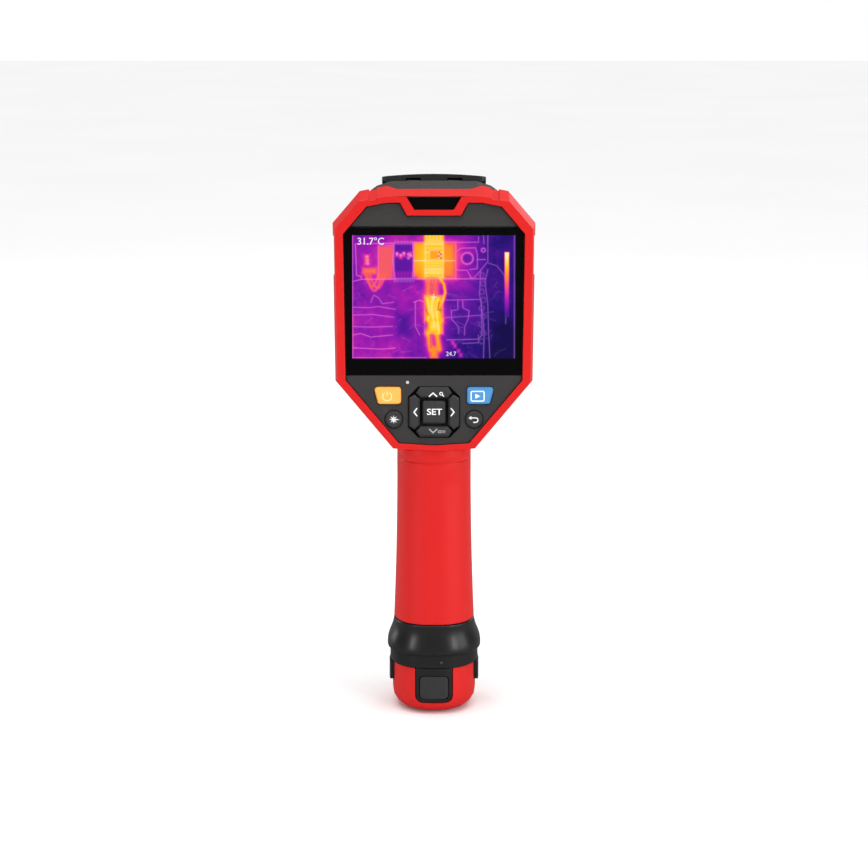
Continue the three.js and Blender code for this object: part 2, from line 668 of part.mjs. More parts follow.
// Modelled closed, with its hinge on the x axis, and then swung open.
function lensCover() {
  const inner = turretFace + COVER.clearance - hinge.y;
  const half = turretHalfWidth + COVER.clearance + COVER.wall;
  const foot = hinge.z - turretFoot + COVER.lip + COVER.wall;
  const face = (x) => inner + COVER.thickness + COVER.crown * (1 - (x / half) ** 2);
  const steps = Array.from({ length: 9 }, (_, i) => half - (i / 8) * 2 * half);
  const section = [[-half, inner], [half, inner], ...steps.map((x) => [x, face(x)])];
  const plate = new THREE.ExtrudeGeometry(new THREE.Shape(vectors(section)), {
    depth: foot + KNUCKLE.radius,
    bevelEnabled: false,
  }).translate(0, 0, -foot);
  const rim = roundedRect(-half, -foot, half, KNUCKLE.radius, 2.2, 4);
  const wall = COVER.wall;
  const hollow = roundedRect(-half + wall, -foot + wall, half - wall, slab, TURRET.corner - 1, 4);
  const skirt = prismY(rim, inner - COVER.skirt, inner + 0.1)
    .subtract(prismY(hollow, -slab, slab))
    .subtract(block([-slab, -slab, -COVER.skirt], [slab, slab, slab]));
  const { radius, middle, ear, gap } = KNUCKLE;
  const knuckle = bar("x", radius, -middle, middle, [0, 0], 20).add(
    block([-middle, 0, -radius], [middle, inner + 0.2, radius]),
  );
  // Room for the turret's ears, under a skin that keeps the lid's outside whole.
  const notch = block(
    [middle, -slab, -radius - 0.5],
    [middle + ear + 2 * gap, radius + GAP, slab],
  );
  return toSolid(plate)
    .intersect(prismY(rim, -slab, slab))
    .add(skirt)
    .subtract(notch)
    .subtract(mirrorX(notch))
    .add(knuckle)
    .subtract(bar("x", PIN + RUNNING, -slab, slab, [0, 0], 16))
    .rotate([COVER.openAngle, 0, 0])
    .translate([0, hinge.y, hinge.z]);
}

// ---------------------------------------------------------------- grip

function gripLoft(shrink, from, to) {
  const at = (z) => {
    const t = THREE.MathUtils.clamp((z - gripFoot) / (GRIP.length - GRIP_SHOULDER), 0, 1);
    const mix = (a, b) => THREE.MathUtils.lerp(a, b, t) - shrink;
    const swell = Math.sin(Math.PI * t) * 0.3;
    return [
      mix(GRIP.bottomHalfWidth, GRIP.topHalfWidth) - swell,
      mix(GRIP.bottomRear, GRIP.topRear) + swell,
      mix(GRIP_FRONT.bottom, GRIP_FRONT.top) - 2 * swell,
    ];
  };
  const neckRing = [GRIP.topHalfWidth - shrink, NECK.rear - shrink, NECK.front - shrink];
  const heights = [0, 0.25, 0.5, 0.75, 1].map((t) => gripFoot + t * (GRIP.length - GRIP_SHOULDER));
  const rings = heights.map((z, i) => gripRing(i === 0 ? from : z, ...at(z)));
  return loft([...rings, gripRing(headFoot + 2, ...neckRing), gripRing(to, ...neckRing)]);
}

function gripShell(isRear) {
  const underHead = headSpace(block([-slab, -slab, -slab], [slab, slab, HEAD_RISE - GAP]));
  const side = isRear
    ? block([-slab, -slab, -slab], [slab, GRIP_SPLIT - GAP / 2, slab])
    : block([-slab, GRIP_SPLIT + GAP / 2, -slab], [slab, slab, slab]);
  return gripLoft(0, gripFoot, headFoot + 20)
    .subtract(gripLoft(WALL, gripFoot - 1, headFoot + 21))
    .intersect(underHead)
    .intersect(side);
}

const gripScrewX = caseRadius + GAP + GRIP_SCREW.post + 0.1;
const gripScrews = [1, -1].map((side) => [side * gripScrewX, gripFoot + GRIP_SCREW.rise]);

// A slim post for a screw, webbed to the shell's side wall.
function gripPost([x, z], from, to) {
  const wall = Math.sign(x) * (GRIP.bottomHalfWidth - WALL / 2);
  const web = block([Math.min(x, wall), from, z - 1.6], [Math.max(x, wall), to, z + 1.6]);
  return bar("y", GRIP_SCREW.post, from, to, [x, z], 16)
    .add(web)
    .intersect(gripLoft(WALL / 2, gripFoot - 1, headFoot + 20));
}

function gripFrontShell() {
  const half = TRIGGER.halfWidth + TRIGGER.gap;
  const mouth = block([-half, GRIP_SPLIT, triggerFoot - 2], [half, slab, slab]);
  let shell = gripShell(false).subtract(mouth);
  for (const place of gripScrews) {
    const boss = bar("y", GRIP_SCREW.boss, GRIP_SCREW.seat - 1, slab, place, 16);
    shell = shell
      .add(boss.intersect(gripLoft(0, gripFoot, headFoot + 20)))
      .add(gripPost(place, GRIP_SPLIT + GAP / 2, GRIP_SCREW.seat))
      .subtract(bar("y", SCREW.shank + GAP, 0, slab, place, 12))
      .subtract(bar("y", GRIP_SCREW.head + GAP, GRIP_SCREW.seat, slab, place, 16));
  }
  return shell;
}

function gripRearShell() {
  return gripScrews.reduce(
    (shell, place) =>
      shell
        .add(gripPost(place, -8, GRIP_SPLIT - GAP / 2))
        .subtract(bar("y", SCREW.shank + GAP, -7, slab, place, 12)),
    gripShell(true),
  );
}

function trigger() {
  const { y, z } = triggerPivot;
  const face = GRIP_FRONT.top + TRIGGER.reach;
  const profile = [
    [y - 2.4, z - 2],
    [y + 1.2, z - 5],
    [GRIP_FRONT.top - 2.6, triggerFoot + 10],
    [GRIP_FRONT.top - 1.6, triggerFoot + 0.6],
    [face - 3, triggerFoot],
    [face - 0.6, triggerFoot + 1.2],
    [face - 2.6, triggerFoot + 9],
    [face - 3.6, triggerFoot + 16],
    [GRIP_FRONT.top + 1.8, triggerTop - 3.6],
    [y + 2.6, triggerTop - 0.8],
    [y, z + 2.4],
    [y - 2, z + 1.4],
  ];
  return prismX(profile, -TRIGGER.halfWidth, TRIGGER.halfWidth)
    .subtract(bar("x", PIN + RUNNING, -slab, slab, [y, z], 16))
    .subtract(block([-3, y - 4, z - 3.4], [3, y + 3.4, z + 4]));
}

function triggerBracket() {
  const { y, z } = triggerPivot;
  const inner = TRIGGER.halfWidth + GAP;
  const outer = inner + 1.6;
  const ear = block([inner, y - 5.5, z - 3.4], [outer, y + 2.6, z + 2.6]);
  return ear
    .add(mirrorX(ear))
    .add(block([-outer, y - 5.5, z - 3.4], [outer, y - 4, z + 2.6]))
    .subtract(bar("x", PIN + RUNNING, -slab, slab, [y, z], 16));
}

// A torsion spring wound round the trigger's pin.
function triggerSpring() {
  const turns = 3;
  const radius = PIN + 0.9;
  const { y, z } = triggerPivot;
  const points = Array.from({ length: turns * 10 + 1 }, (_, i) => {
    const angle = (i / 10) * 2 * Math.PI;
    return mm([-1.8 + (3.6 * i) / (turns * 10), y + radius * Math.cos(angle), z + radius * Math.sin(angle)]);
  });
  const wire = new THREE.Shape(vectors(circle(0, 0, 0.4, 6)));
  const path = new THREE.CatmullRomCurve3(points);
  return toSolid(new THREE.ExtrudeGeometry(wire, { steps: turns * 10, extrudePath: path }));
}

// A microswitch whose plunger stops just short of the pressed trigger.
function triggerSwitch() {
  const { y, z } = triggerPivot;
  const rear = y - 8;
  const { halfWidth, depth, height, drop, plunger } = SWITCH;
  const top = z - drop;
  return block([-halfWidth, rear, top - height], [halfWidth, rear + depth, top]).add(
    block([-1.2, rear + depth - 0.5, top - 5], [1.2, y + plunger, top - 2.6]),
  );
}

// ---------------------------------------------------------------- collar and battery

function collarLoft(shrink, from, to) {
  const z0 = BASE.height + GAP;
  const ring = (z, wide, deep) =>
    gripRing(
      z,
      GRIP.bottomHalfWidth + wide - shrink,
      GRIP.bottomRear + deep - shrink,
      GRIP_FRONT.bottom + deep - shrink,
    );
  return loft([
    ring(from, COLLAR.ring, 0.4),
    ring(z0 + COLLAR.ringHeight, COLLAR.bulge, 0.7),
    ring(z0 + COLLAR.ringHeight + 2.5, COLLAR.bulge + 0.1, 0.3),
    ring(z0 + COLLAR.height * 0.74, 0.5, -0.1),
    ring(to, 0, 0),
  ]);
}

function collarRing() {
  const z0 = BASE.height + GAP;
  const top = z0 + COLLAR.height;
  return collarLoft(0, z0, top)
    .subtract(collarLoft(WALL + 0.6, z0 - 1, top + 1))
    .subtract(bar("y", CHARGE_LED.radius + 0.2, -slab, 0, [CHARGE_LED.out, z0 + CHARGE_LED.rise], 12));
}

function chargeLed() {
  const place = [CHARGE_LED.out, BASE.height + GAP + CHARGE_LED.rise];
  return bar("y", CHARGE_LED.radius, -GRIP.bottomRear - 0.2, -GRIP.bottomRear + WALL, place, 10);
}

function baseLoft(shrink, from) {
  const { halfWidth, halfDepth, edge, height } = BASE;
  const ring = (z, pull, t) => {
    const squareness = THREE.MathUtils.lerp(ROUND, SQUARISH, t);
    return gripRing(z, halfWidth - pull, halfDepth - pull, halfDepth - pull, squareness);
  };
  const rounded = [0, 0.2, 0.4, 0.6, 0.8, 1].map((t) => {
    const angle = t * (Math.PI / 2);
    const z = edge * (1 - Math.cos(angle));
    return ring(from + (z * (height - from)) / height, edge * (1 - Math.sin(angle)) + shrink, t);
  });
  return loft([...rounded, ring(height + (shrink ? 1 : 0), shrink, 1)]);
}

const portOutline = (grow) =>
  roundedRect(-PORT.halfWidth - grow, PORT.foot - grow, PORT.halfWidth + grow, slab, 3.2);
const flapOutline = (grow) =>
  roundedRect(
    -PORT.flapHalfWidth - grow,
    PORT.flapFoot - grow,
    PORT.flapHalfWidth + grow,
    PORT.flapTop + grow,
    1.6,
    2,
  );

function latchWindow(grow) {
  const half = LATCH.halfWidth + grow;
  return roundedRect(-half, LATCH.foot - grow, half, slab, 4.5, 4);
}

function batteryBase() {
  return baseLoft(0, 0)
    .subtract(baseLoft(WALL + 0.2, BASE.floor))
    .subtract(prismY(portOutline(0), -slab, 0))
    .subtract(prismX(latchWindow(0), 0, slab))
    .subtract(prismX(latchWindow(0), -slab, 0));
}

function portPanel() {
  return baseLoft(0, 0)
    .subtract(baseLoft(WALL, BASE.floor))
    .intersect(prismY(portOutline(-GAP), -slab, 0))
    .subtract(prismY(flapOutline(GAP / 2), -slab, 0));
}

function portFlap() {
  return baseLoft(0.1, 0)
    .subtract(baseLoft(WALL + 0.2, BASE.floor))
    .intersect(prismY(flapOutline(-GAP / 2), -slab, 0));
}

// The charging socket: an open shell round a thin tongue.
function usbSocket() {
  const mouth = -BASE.halfDepth + USB.setBack;
  const back = -caseRadius - 0.6;
  const mid = (PORT.flapFoot + PORT.flapTop) / 2;
  const outline = (shrink, radius) => {
    const [w, h] = [USB.halfWidth - shrink, USB.height / 2 - shrink];
    return roundedRect(-w, mid - h, w, mid + h, radius);
  };
  const half = USB.tongue / 2;
  return prismY(outline(0, 1.4), mouth, back)
    .subtract(prismY(outline(USB.wall, 1.1), -slab, back - 1))
    .add(block([-3.4, mouth + 0.8, mid - half], [3.4, back - 0.4, mid + half]));
}

// The case stands in the base, and its foot follows the base's rounded inside.
function batteryCase() {
  const above = block([-slab, -slab, BASE.height], [slab, slab, slab]);
  const room = baseLoft(WALL + 2 * GAP, BASE.floor + GAP).add(above);
  return bar("z", caseRadius, BASE.floor + 2 * GAP, caseTop, [0, 0], 28)
    .intersect(room)
    .subtract(bar("z", CELL.radius + CELL.slack, CELL.foot - GAP, caseTop + 1, [0, 0], 28));
}

function batteryTerminals() {
  const foot = caseTop + GAP;
  const { thickness, blade, spread, width, depth } = TERMINAL;
  const contact = block(
    [spread, -depth / 2, foot + 1],
    [spread + width, depth / 2, foot + thickness + blade],
  );
  return bar("z", caseRadius, foot, foot + thickness, [0, 0], 28)
    .add(contact)
    .add(mirrorX(contact));
}

function batterySocket() {
  const { halfWidth, halfDepth, height, gap } = SOCKET;
  const foot = caseTop + GAP + TERMINAL.thickness + TERMINAL.blade + gap;
  return block([-halfWidth, -halfDepth, foot], [halfWidth, halfDepth, foot + height]);
}

function latch() {
  const inside = caseRadius + LATCH.travel + 2 * GAP;
  const button = baseLoft(-LATCH.proud, 0)
    .intersect(prismX(latchWindow(-0.4), inside, slab))
    .intersect(block([inside, -slab, LATCH.foot], [slab, slab, BASE.height - 0.4]));
  const arm = block(
    [inside, -4, LATCH.foot + 3],
    [inside + LATCH.thickness, 4, BASE.height + LATCH.arm],
  );
  return button.add(arm);
}

function screwSolid([x, z], top, length, head = SCREW.head) {
  const seat = top - SCREW.headHeight;
  const profile = [
    [0, seat - length],
    [SCREW.shank, seat - length],
    [SCREW.shank, seat],
    [head, seat],
    [head, top - 0.5],
    [head - 0.5, top],
    [0, top],
  ];
  const socket = [0, Math.PI / 3, -Math.PI / 3].map((turn) => {
    const [c, s] = [Math.cos(turn), Math.sin(turn)];
    const bar4 = [
      [-1.3, -0.35],
      [1.3, -0.35],
      [1.3, 0.35],
      [-1.3, 0.35],
    ];
    return prismY(
      bar4.map(([a, b]) => [x + a * c - b * s, z + a * s + b * c]),
      top - 0.9,
      slab,
    );
  });
  return socket.reduce((made, cut) => made.subtract(cut), turned(profile, [x, z], 16));
}

const gripScrew = (place) =>
  screwSolid(place, GRIP_SCREW.seat + GAP + SCREW.headHeight, GRIP_SCREW.length, GRIP_SCREW.head);

// ---------------------------------------------------------------- assembly

const imager = new THREE.Group();
const head = new THREE.Group();
head.applyMatrix4(headMatrix);
imager.add(head);

head.add(
  piece("rear_housing", rearHousing(), CHARCOAL),
  piece("head_bumper", headBumper(), RED),
  piece(
    "badge_plate",
    prismY(trapezoid(BADGE, -GAP), -0.2, BADGE.deep - BUMPER.proud - GAP),
    GLOSS,
  ),
  piece("display_glass", displayGlass(), GLOSS),
  piece("lcd_module", lcdModule(), SILVER),
  piece("keypad_membrane", keypadSheet(membraneFront, 0.9, 0), RUBBER),
  piece("keypad_board", keypadSheet(membraneFront + 1.2, 1.2, 0.5), BOARD),
  piece("main_board", mainBoard(), BOARD),
  piece("housing_seal", housingSeal(), RUBBER),
  piece("status_led", bar("y", STATUS_LED.radius, 0.1, PANEL, statusLed, 12), CLEAR),
  piece("power_button", flangedKey(flipped(cornerKeyOutline)), ORANGE),
  piece("playback_button", flangedKey(cornerKeyOutline), BLUE),
  piece("lamp_button", key(roundKey(-1, 0)), RUBBER),
  piece("back_button", key(roundKey(1, 0)), RUBBER),
  piece("set_button", setKey(), RUBBER),
);
["up_button", "left_button", "down_button", "right_button"].forEach((name, i) =>
  head.add(piece(name, arrowKey(i), RUBBER)),
);

const optics = new THREE.Group();
const coverPinEnd = KNUCKLE.middle + KNUCKLE.gap + KNUCKLE.ear;
const triggerPinEnd = TRIGGER.halfWidth + GAP + 1.6;
imager.add(optics);
optics.add(
  piece("lens_bezel", lensBezel(), BLACK),
  piece("lens_barrel", lensBarrel(), BLACK),
  piece("germanium_lens", germaniumLens(), GERMANIUM),
  piece("lens_ring", lensRing(), STEEL),
  piece("shutter_housing", shutterHousing(), BLACK),
  piece("shutter_flag", shutterFlag(), STEEL),
  piece("sensor_module", sensorModule(), SILVER),
  piece("sensor_board", sensorBoard(), BOARD),
  piece(
    "camera_window",
    bar("y", SENSOR_ROW.camera, turretFace - 2, turretFace - 0.5, rowPlace(-1), 20),
    GLOSS,
  ),
  piece(
    "camera_module",
    bar("y", SENSOR_ROW.camera - 0.4, FRONT_FACE - 6, turretFace - 2.3, rowPlace(-1), 16),
    BLACK,
  ),
  piece("lamp_lens", bar("y", SENSOR_ROW.lamp, turretFace - 4, turretFace - 0.5, rowPlace(1), 20), CLEAR),
  piece(
    "laser_module",
    bar("y", SENSOR_ROW.laser, FRONT_FACE - 8, turretFace - 0.8, [0, sensorHeight], 16),
    STEEL,
  ),
  piece("cover_pin", bar("x", PIN, -coverPinEnd, coverPinEnd, [hinge.y, hinge.z], 16), STEEL),
  piece("lens_cover", lensCover(), BLACK),
);

imager.add(
  piece("front_housing", frontHousing(), CHARCOAL),
  piece("grip_rear_shell", gripRearShell(), RED),
  piece("grip_front_shell", gripFrontShell(), CHARCOAL),
  piece("collar_ring", collarRing(), BLACK),
  piece("charge_led", chargeLed(), CLEAR),
  piece("trigger", trigger(), RED),
  piece("trigger_bracket", triggerBracket(), STEEL),
  piece(
    "trigger_pin",
    bar("x", PIN, -triggerPinEnd, triggerPinEnd, [triggerPivot.y, triggerPivot.z], 16),
    STEEL,
  ),
  piece("trigger_spring", triggerSpring(), STEEL),
  piece("trigger_switch", triggerSwitch(), BLACK),
  piece("battery_socket", batterySocket(), BLACK),
);
screwPlaces.forEach((place, i) =>
  imager.add(piece(`head_screw_${i + 1}`, screwSolid(place, FRONT_FACE - 0.1, SCREW.length), STEEL)),
);
gripScrews.forEach((place, i) =>
  imager.add(piece(`grip_screw_${i + 1}`, gripScrew(place), STEEL)),
);

const battery = new THREE.Group();
imager.add(battery);
battery.add(
  piece("battery_base", batteryBase(), RED),
  piece("battery_case", batteryCase(), BLACK),
  piece("battery_cell", bar("z", CELL.radius, CELL.foot, CELL.foot + CELL.length, [0, 0], 24), WRAP),
  piece("battery_terminals", batteryTerminals(), SILVER),
  piece("port_panel", portPanel(), BLACK),
  piece("port_flap", portFlap(), RUBBER),
  piece("usb_socket", usbSocket(), SILVER),
  piece("latch_right", latch(), BLACK),
  piece("latch_left", mirrorX(latch()), BLACK),
);

export default imager;
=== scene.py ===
# %% [markdown]
# # A handheld thermal imaging camera
#
# This notebook finishes a camera whose solid parts arrive ready-made from CAD. Nothing is moved: each part
# already lies where it belongs. What is added here is what a drawing leaves out: softened edges, moulded
# plastic, printed marks, the lit picture, the studio and its light.

import json
import math

import bmesh
import bpy
import numpy as np
from mathutils import Matrix, Vector
from mathutils.bvhtree import BVHTree


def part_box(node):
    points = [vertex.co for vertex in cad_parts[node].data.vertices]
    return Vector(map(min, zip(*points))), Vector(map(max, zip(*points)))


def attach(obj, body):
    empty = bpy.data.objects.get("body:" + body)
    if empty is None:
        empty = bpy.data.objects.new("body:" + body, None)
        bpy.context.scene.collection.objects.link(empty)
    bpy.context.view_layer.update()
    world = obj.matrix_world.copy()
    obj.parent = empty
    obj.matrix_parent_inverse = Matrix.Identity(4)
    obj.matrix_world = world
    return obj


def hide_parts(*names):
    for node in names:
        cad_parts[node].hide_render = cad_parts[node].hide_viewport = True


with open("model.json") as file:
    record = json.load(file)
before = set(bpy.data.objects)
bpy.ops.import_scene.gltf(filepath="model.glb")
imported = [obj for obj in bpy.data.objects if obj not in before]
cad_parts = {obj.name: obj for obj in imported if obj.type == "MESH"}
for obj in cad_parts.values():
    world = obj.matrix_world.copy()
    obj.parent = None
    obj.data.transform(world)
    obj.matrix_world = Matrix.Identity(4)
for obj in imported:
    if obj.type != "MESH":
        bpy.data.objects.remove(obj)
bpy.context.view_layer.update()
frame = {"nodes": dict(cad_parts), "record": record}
nodes = frame["nodes"]

# %% [markdown]
# ## Two frames of reference
#
# The grip stands upright, but the head leans back by ten degrees so that its display faces the user. It is
# easier to draw on the display in its own flat frame: x to the right, depth into the head, and height up the
# screen. One small function turns such a place into a place in the room.

# %% The head's own frame
MM = 0.001
SCREEN_TILT = math.radians(10)
GLASS_FOOT = 42.5  # heights up the screen, in millimetres, from the foot of the head
PICTURE_FOOT = 49.7
PICTURE_TOP = 102.9
PICTURE_HALF = 35.4
PAD_HEIGHT = 26.4  # the middle of the arrow keys
KEY_FACE = -1.1  # the keys stand this far out of the panel

HEAD_FOOT = 111.8
glass_low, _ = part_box("display_glass")
head_root = Vector((0, glass_low.y / MM - GLASS_FOOT * math.sin(SCREEN_TILT), HEAD_FOOT)) * MM


def on_head(x, depth, height):
    """A place in the head's frame, in millimetres, as a place in the room, in metres."""
    c, s = math.cos(SCREEN_TILT), math.sin(SCREEN_TILT)
    return head_root + Vector((x, depth * c + height * s, height * c - depth * s)) * MM


print("the head's foot is at", [round(v / MM, 2) for v in head_root])

# %% [markdown]
# ## Shader groups
#
# Moulded plastic is never one flat colour. The mould is spark-eroded, which leaves a fine pebble grain, the
# pigment is slightly uneven, and corners are rubbed a little smoother and lighter by hands. Each of these
# effects is needed in many finishes, so each is a node group with named inputs, built once.


# %% A small helper for node trees
def add(tree, kind, links=None, **values):
    """A node with its settings and the sockets that feed it."""
    node = tree.nodes.new(kind)
    for name, value in values.items():
        if hasattr(node, name):
            setattr(node, name, value)
        else:
            node.inputs[name.replace("_", " ")].default_value = value
    for name, source in (links or {}).items():
        tree.links.new(source, node.inputs[name])
    return node


def ramp(tree, source, stops):
    """A colour ramp with the given places and colours or grey values."""
    node = add(tree, "ShaderNodeValToRGB", {"Fac": source})
    while len(node.color_ramp.elements) < len(stops):
        node.color_ramp.elements.new(0.5)
    for element, (place, colour) in zip(node.color_ramp.elements, stops):
        element.position = place
        rgb = (colour,) * 3 if isinstance(colour, (int, float)) else colour
        element.color = (*rgb, 1)
    return node.outputs["Color"]


def compute(tree, operation, *values):
    """A Math node on sockets and numbers, in the order in which it takes them."""
    node = add(tree, "ShaderNodeMath", operation=operation)
    for socket, value in zip(node.inputs, values):
        if isinstance(value, bpy.types.NodeSocket):
            tree.links.new(value, socket)
        else:
            socket.default_value = value
    return node.outputs[0]


def new_group(name, inputs, outputs):
    """An empty shader group with its sockets: each is a name, a kind and, for an input, a value."""
    tree = bpy.data.node_groups.new(name, "ShaderNodeTree")
    for label, kind, value in inputs:
        socket = tree.interface.new_socket(label, in_out="INPUT", socket_type=kind)
        socket.default_value = value
    for label, kind in outputs:
        tree.interface.new_socket(label, in_out="OUTPUT", socket_type=kind)
    return tree, tree.nodes.new("NodeGroupInput"), tree.nodes.new("NodeGroupOutput")


FLOAT = "NodeSocketFloat"


# %% Pebble grain
def build_grain():
    """Height and unevenness of a spark-eroded moulding. Scale is in cells per metre."""
    tree, given, made = new_group(
        "moulded_grain",
        [("Scale", FLOAT, 2500.0), ("Unevenness", FLOAT, 0.1)],
        [("Height", FLOAT), ("Tone", FLOAT)],
    )
    place = add(tree, "ShaderNodeTexCoord").outputs["Object"]
    pebble = add(
        tree, "ShaderNodeTexVoronoi", {"Vector": place, "Scale": given.outputs["Scale"]}, feature="SMOOTH_F1"
    )
    cloud = add(tree, "ShaderNodeTexNoise", {"Vector": place}, Scale=160.0, Detail=7.0)
    tone = compute(tree, "MULTIPLY", cloud.outputs["Fac"], given.outputs["Unevenness"])
    tree.links.new(pebble.outputs["Distance"], made.inputs["Height"])
    tree.links.new(tone, made.inputs["Tone"])
    return tree


moulded_grain = build_grain()
print("built", moulded_grain.name)


# %% Rubbed edges
def build_wear():
    """One on convex edges, broken up by a cloud so that it looks rubbed and not drawn."""
    tree, given, made = new_group("rubbed_edges", [("Amount", FLOAT, 0.5)], [("Mask", FLOAT)])
    place = add(tree, "ShaderNodeTexCoord").outputs["Object"]
    sharp = add(tree, "ShaderNodeNewGeometry").outputs["Pointiness"]
    edge = ramp(tree, sharp, [(0.52, 0.0), (0.62, 1.0)])
    cloud = add(tree, "ShaderNodeTexNoise", {"Vector": place}, Scale=220.0, Detail=5.0)
    broken = ramp(tree, cloud.outputs["Fac"], [(0.35, 0.15), (0.65, 1.0)])
    both = compute(tree, "MULTIPLY", edge, broken)
    tree.links.new(compute(tree, "MULTIPLY", both, given.outputs["Amount"]), made.inputs["Mask"])
    return tree


rubbed_edges = build_wear()
print("built", rubbed_edges.name)


# %% [markdown]
# ## Finishes
#
# Every finish below is one Principled shader. The groups feed its colour, roughness and bump, and what is
# the same all over, such as the coat of a polished window, is set on the shader itself.


# %% Moulded plastic and rubber
def group(tree, which, **values):
    node = tree.nodes.new("ShaderNodeGroup")
    node.node_tree = which
    for name, value in values.items():
        node.inputs[name].default_value = value
    return node


def mix_colours(tree, factor, a, b, blend="MIX"):
    node = tree.nodes.new("ShaderNodeMix")
    node.data_type = "RGBA"
    node.blend_type = blend
    for socket, value in (("Factor", factor), ("A", a), ("B", b)):
        target = [s for s in node.inputs if s.name == socket and s.enabled][0]
        if isinstance(value, bpy.types.NodeSocket):
            tree.links.new(value, target)
        else:
            target.default_value = value if isinstance(value, float) else (*value, 1)
    return [s for s in node.outputs if s.enabled][0]


def new_finish(name):
    made = bpy.data.materials.new(name)
    made.use_nodes = True
    return made, made.node_tree, made.node_tree.nodes["Principled BSDF"]


def moulding(name, colour, rough, grain, bump, wear, worn=None, sheen=0.0, **shader):
    """A moulded finish: grain, uneven pigment and rubbed edges over one colour."""
    made, tree, skin = new_finish(name)
    pebbles = group(tree, moulded_grain, Scale=grain, Unevenness=0.22)
    rubbed = group(tree, rubbed_edges, Amount=wear)
    deep = tuple(c * 0.86 for c in colour)
    pale = tuple(min(1.0, c * 1.1) for c in colour)
    base = mix_colours(tree, pebbles.outputs["Tone"], pale, deep)
    worn = worn or tuple(min(1.0, c * 1.3 + 0.03) for c in colour)
    base = mix_colours(tree, rubbed.outputs["Mask"], base, worn)
    tree.links.new(base, skin.inputs["Base Color"])
    shine = compute(tree, "MULTIPLY_ADD", rubbed.outputs["Mask"], -0.18, rough)
    vary = compute(tree, "MULTIPLY_ADD", pebbles.outputs["Tone"], shine, shine)
    tree.links.new(vary, skin.inputs["Roughness"])
    relief = add(tree, "ShaderNodeBump", {"Height": pebbles.outputs["Height"]}, Strength=bump, Distance=0.0001)
    tree.links.new(relief.outputs["Normal"], skin.inputs["Normal"])
    if sheen:
        skin.inputs["Sheen Weight"].default_value = sheen
        skin.inputs["Sheen Roughness"].default_value = 0.4
    for socket, value in shader.items():
        skin.inputs[socket.replace("_", " ")].default_value = value
    return made


finishes = {
    "red_shell": moulding(
        "red_overmould",
        (0.56, 0.0035, 0.0025),
        0.45,
        2200.0,
        0.10,
        0.25,
        (0.85, 0.05, 0.05),
        0.03,
        Specular_IOR_Level=0.28,
    ),
    "charcoal_shell": moulding("charcoal_moulding", (0.022, 0.020, 0.019), 0.55, 3200.0, 0.22, 0.4),
    "black_shell": moulding("satin_black_moulding", (0.009, 0.009, 0.009), 0.29, 2800.0, 0.08, 0.5),
    "black_rubber": moulding("black_silicone", (0.020, 0.020, 0.020), 0.62, 2600.0, 0.08, 0.3),
    "orange_key": moulding("orange_silicone", (0.90, 0.40, 0.065), 0.5, 2600.0, 0.06, 0.2),
    "blue_key": moulding("blue_silicone", (0.052, 0.23, 0.50), 0.5, 2600.0, 0.06, 0.2),
}
print("moulded finishes:", ", ".join(finishes))


# %% Polished windows, metal and the rest
def polished(name, colour, rough, smear, **shader):
    """A polished surface with faint smears in its gloss."""
    made, tree, skin = new_finish(name)
    place = add(tree, "ShaderNodeTexCoord").outputs["Object"]
    cloud = add(tree, "ShaderNodeTexNoise", {"Vector": place}, Scale=60.0, Detail=3.0, Distortion=1.2)
    smears = ramp(tree, cloud.outputs["Fac"], [(0.4, rough), (0.7, rough + smear)])
    tree.links.new(smears, skin.inputs["Roughness"])
    paler = tuple(min(1.0, c * 1.15) for c in colour)
    tint = ramp(tree, cloud.outputs["Fac"], [(0.3, colour), (0.8, paler)])
    tree.links.new(tint, skin.inputs["Base Color"])
    for socket, value in shader.items():
        skin.inputs[socket.replace("_", " ")].default_value = value
    return made


def brushed(name, colour, rough):
    """Metal drawn along one direction: a noise stretched along x."""
    made, tree, skin = new_finish(name)
    place = add(tree, "ShaderNodeTexCoord").outputs["Object"]
    stretched = add(tree, "ShaderNodeMapping", {"Vector": place})
    stretched.inputs["Scale"].default_value = (60, 2500, 2500)
    lines = add(tree, "ShaderNodeTexNoise", {"Vector": stretched.outputs["Vector"]}, Scale=1.0, Detail=3.0)
    darker = tuple(c * 0.8 for c in colour)
    for socket, stops in (
        ("Base Color", [(0.3, darker), (0.7, colour)]),
        ("Roughness", [(0.3, rough), (0.7, rough + 0.15)]),
    ):
        tree.links.new(ramp(tree, lines.outputs["Fac"], stops), skin.inputs[socket])
    skin.inputs["Metallic"].default_value = 1.0
    return made


def board_finish():
    """Green solder mask with the paler net of copper traces under it."""
    made, tree, skin = new_finish("solder_mask")
    place = add(tree, "ShaderNodeTexCoord").outputs["Object"]
    traces = add(tree, "ShaderNodeTexVoronoi", {"Vector": place}, feature="DISTANCE_TO_EDGE", Scale=260.0)
    green = ramp(tree, traces.outputs["Distance"], [(0.04, (0.05, 0.22, 0.07)), (0.09, (0.010, 0.09, 0.03))])
    tree.links.new(green, skin.inputs["Base Color"])
    skin.inputs["Roughness"].default_value = 0.35
    return made


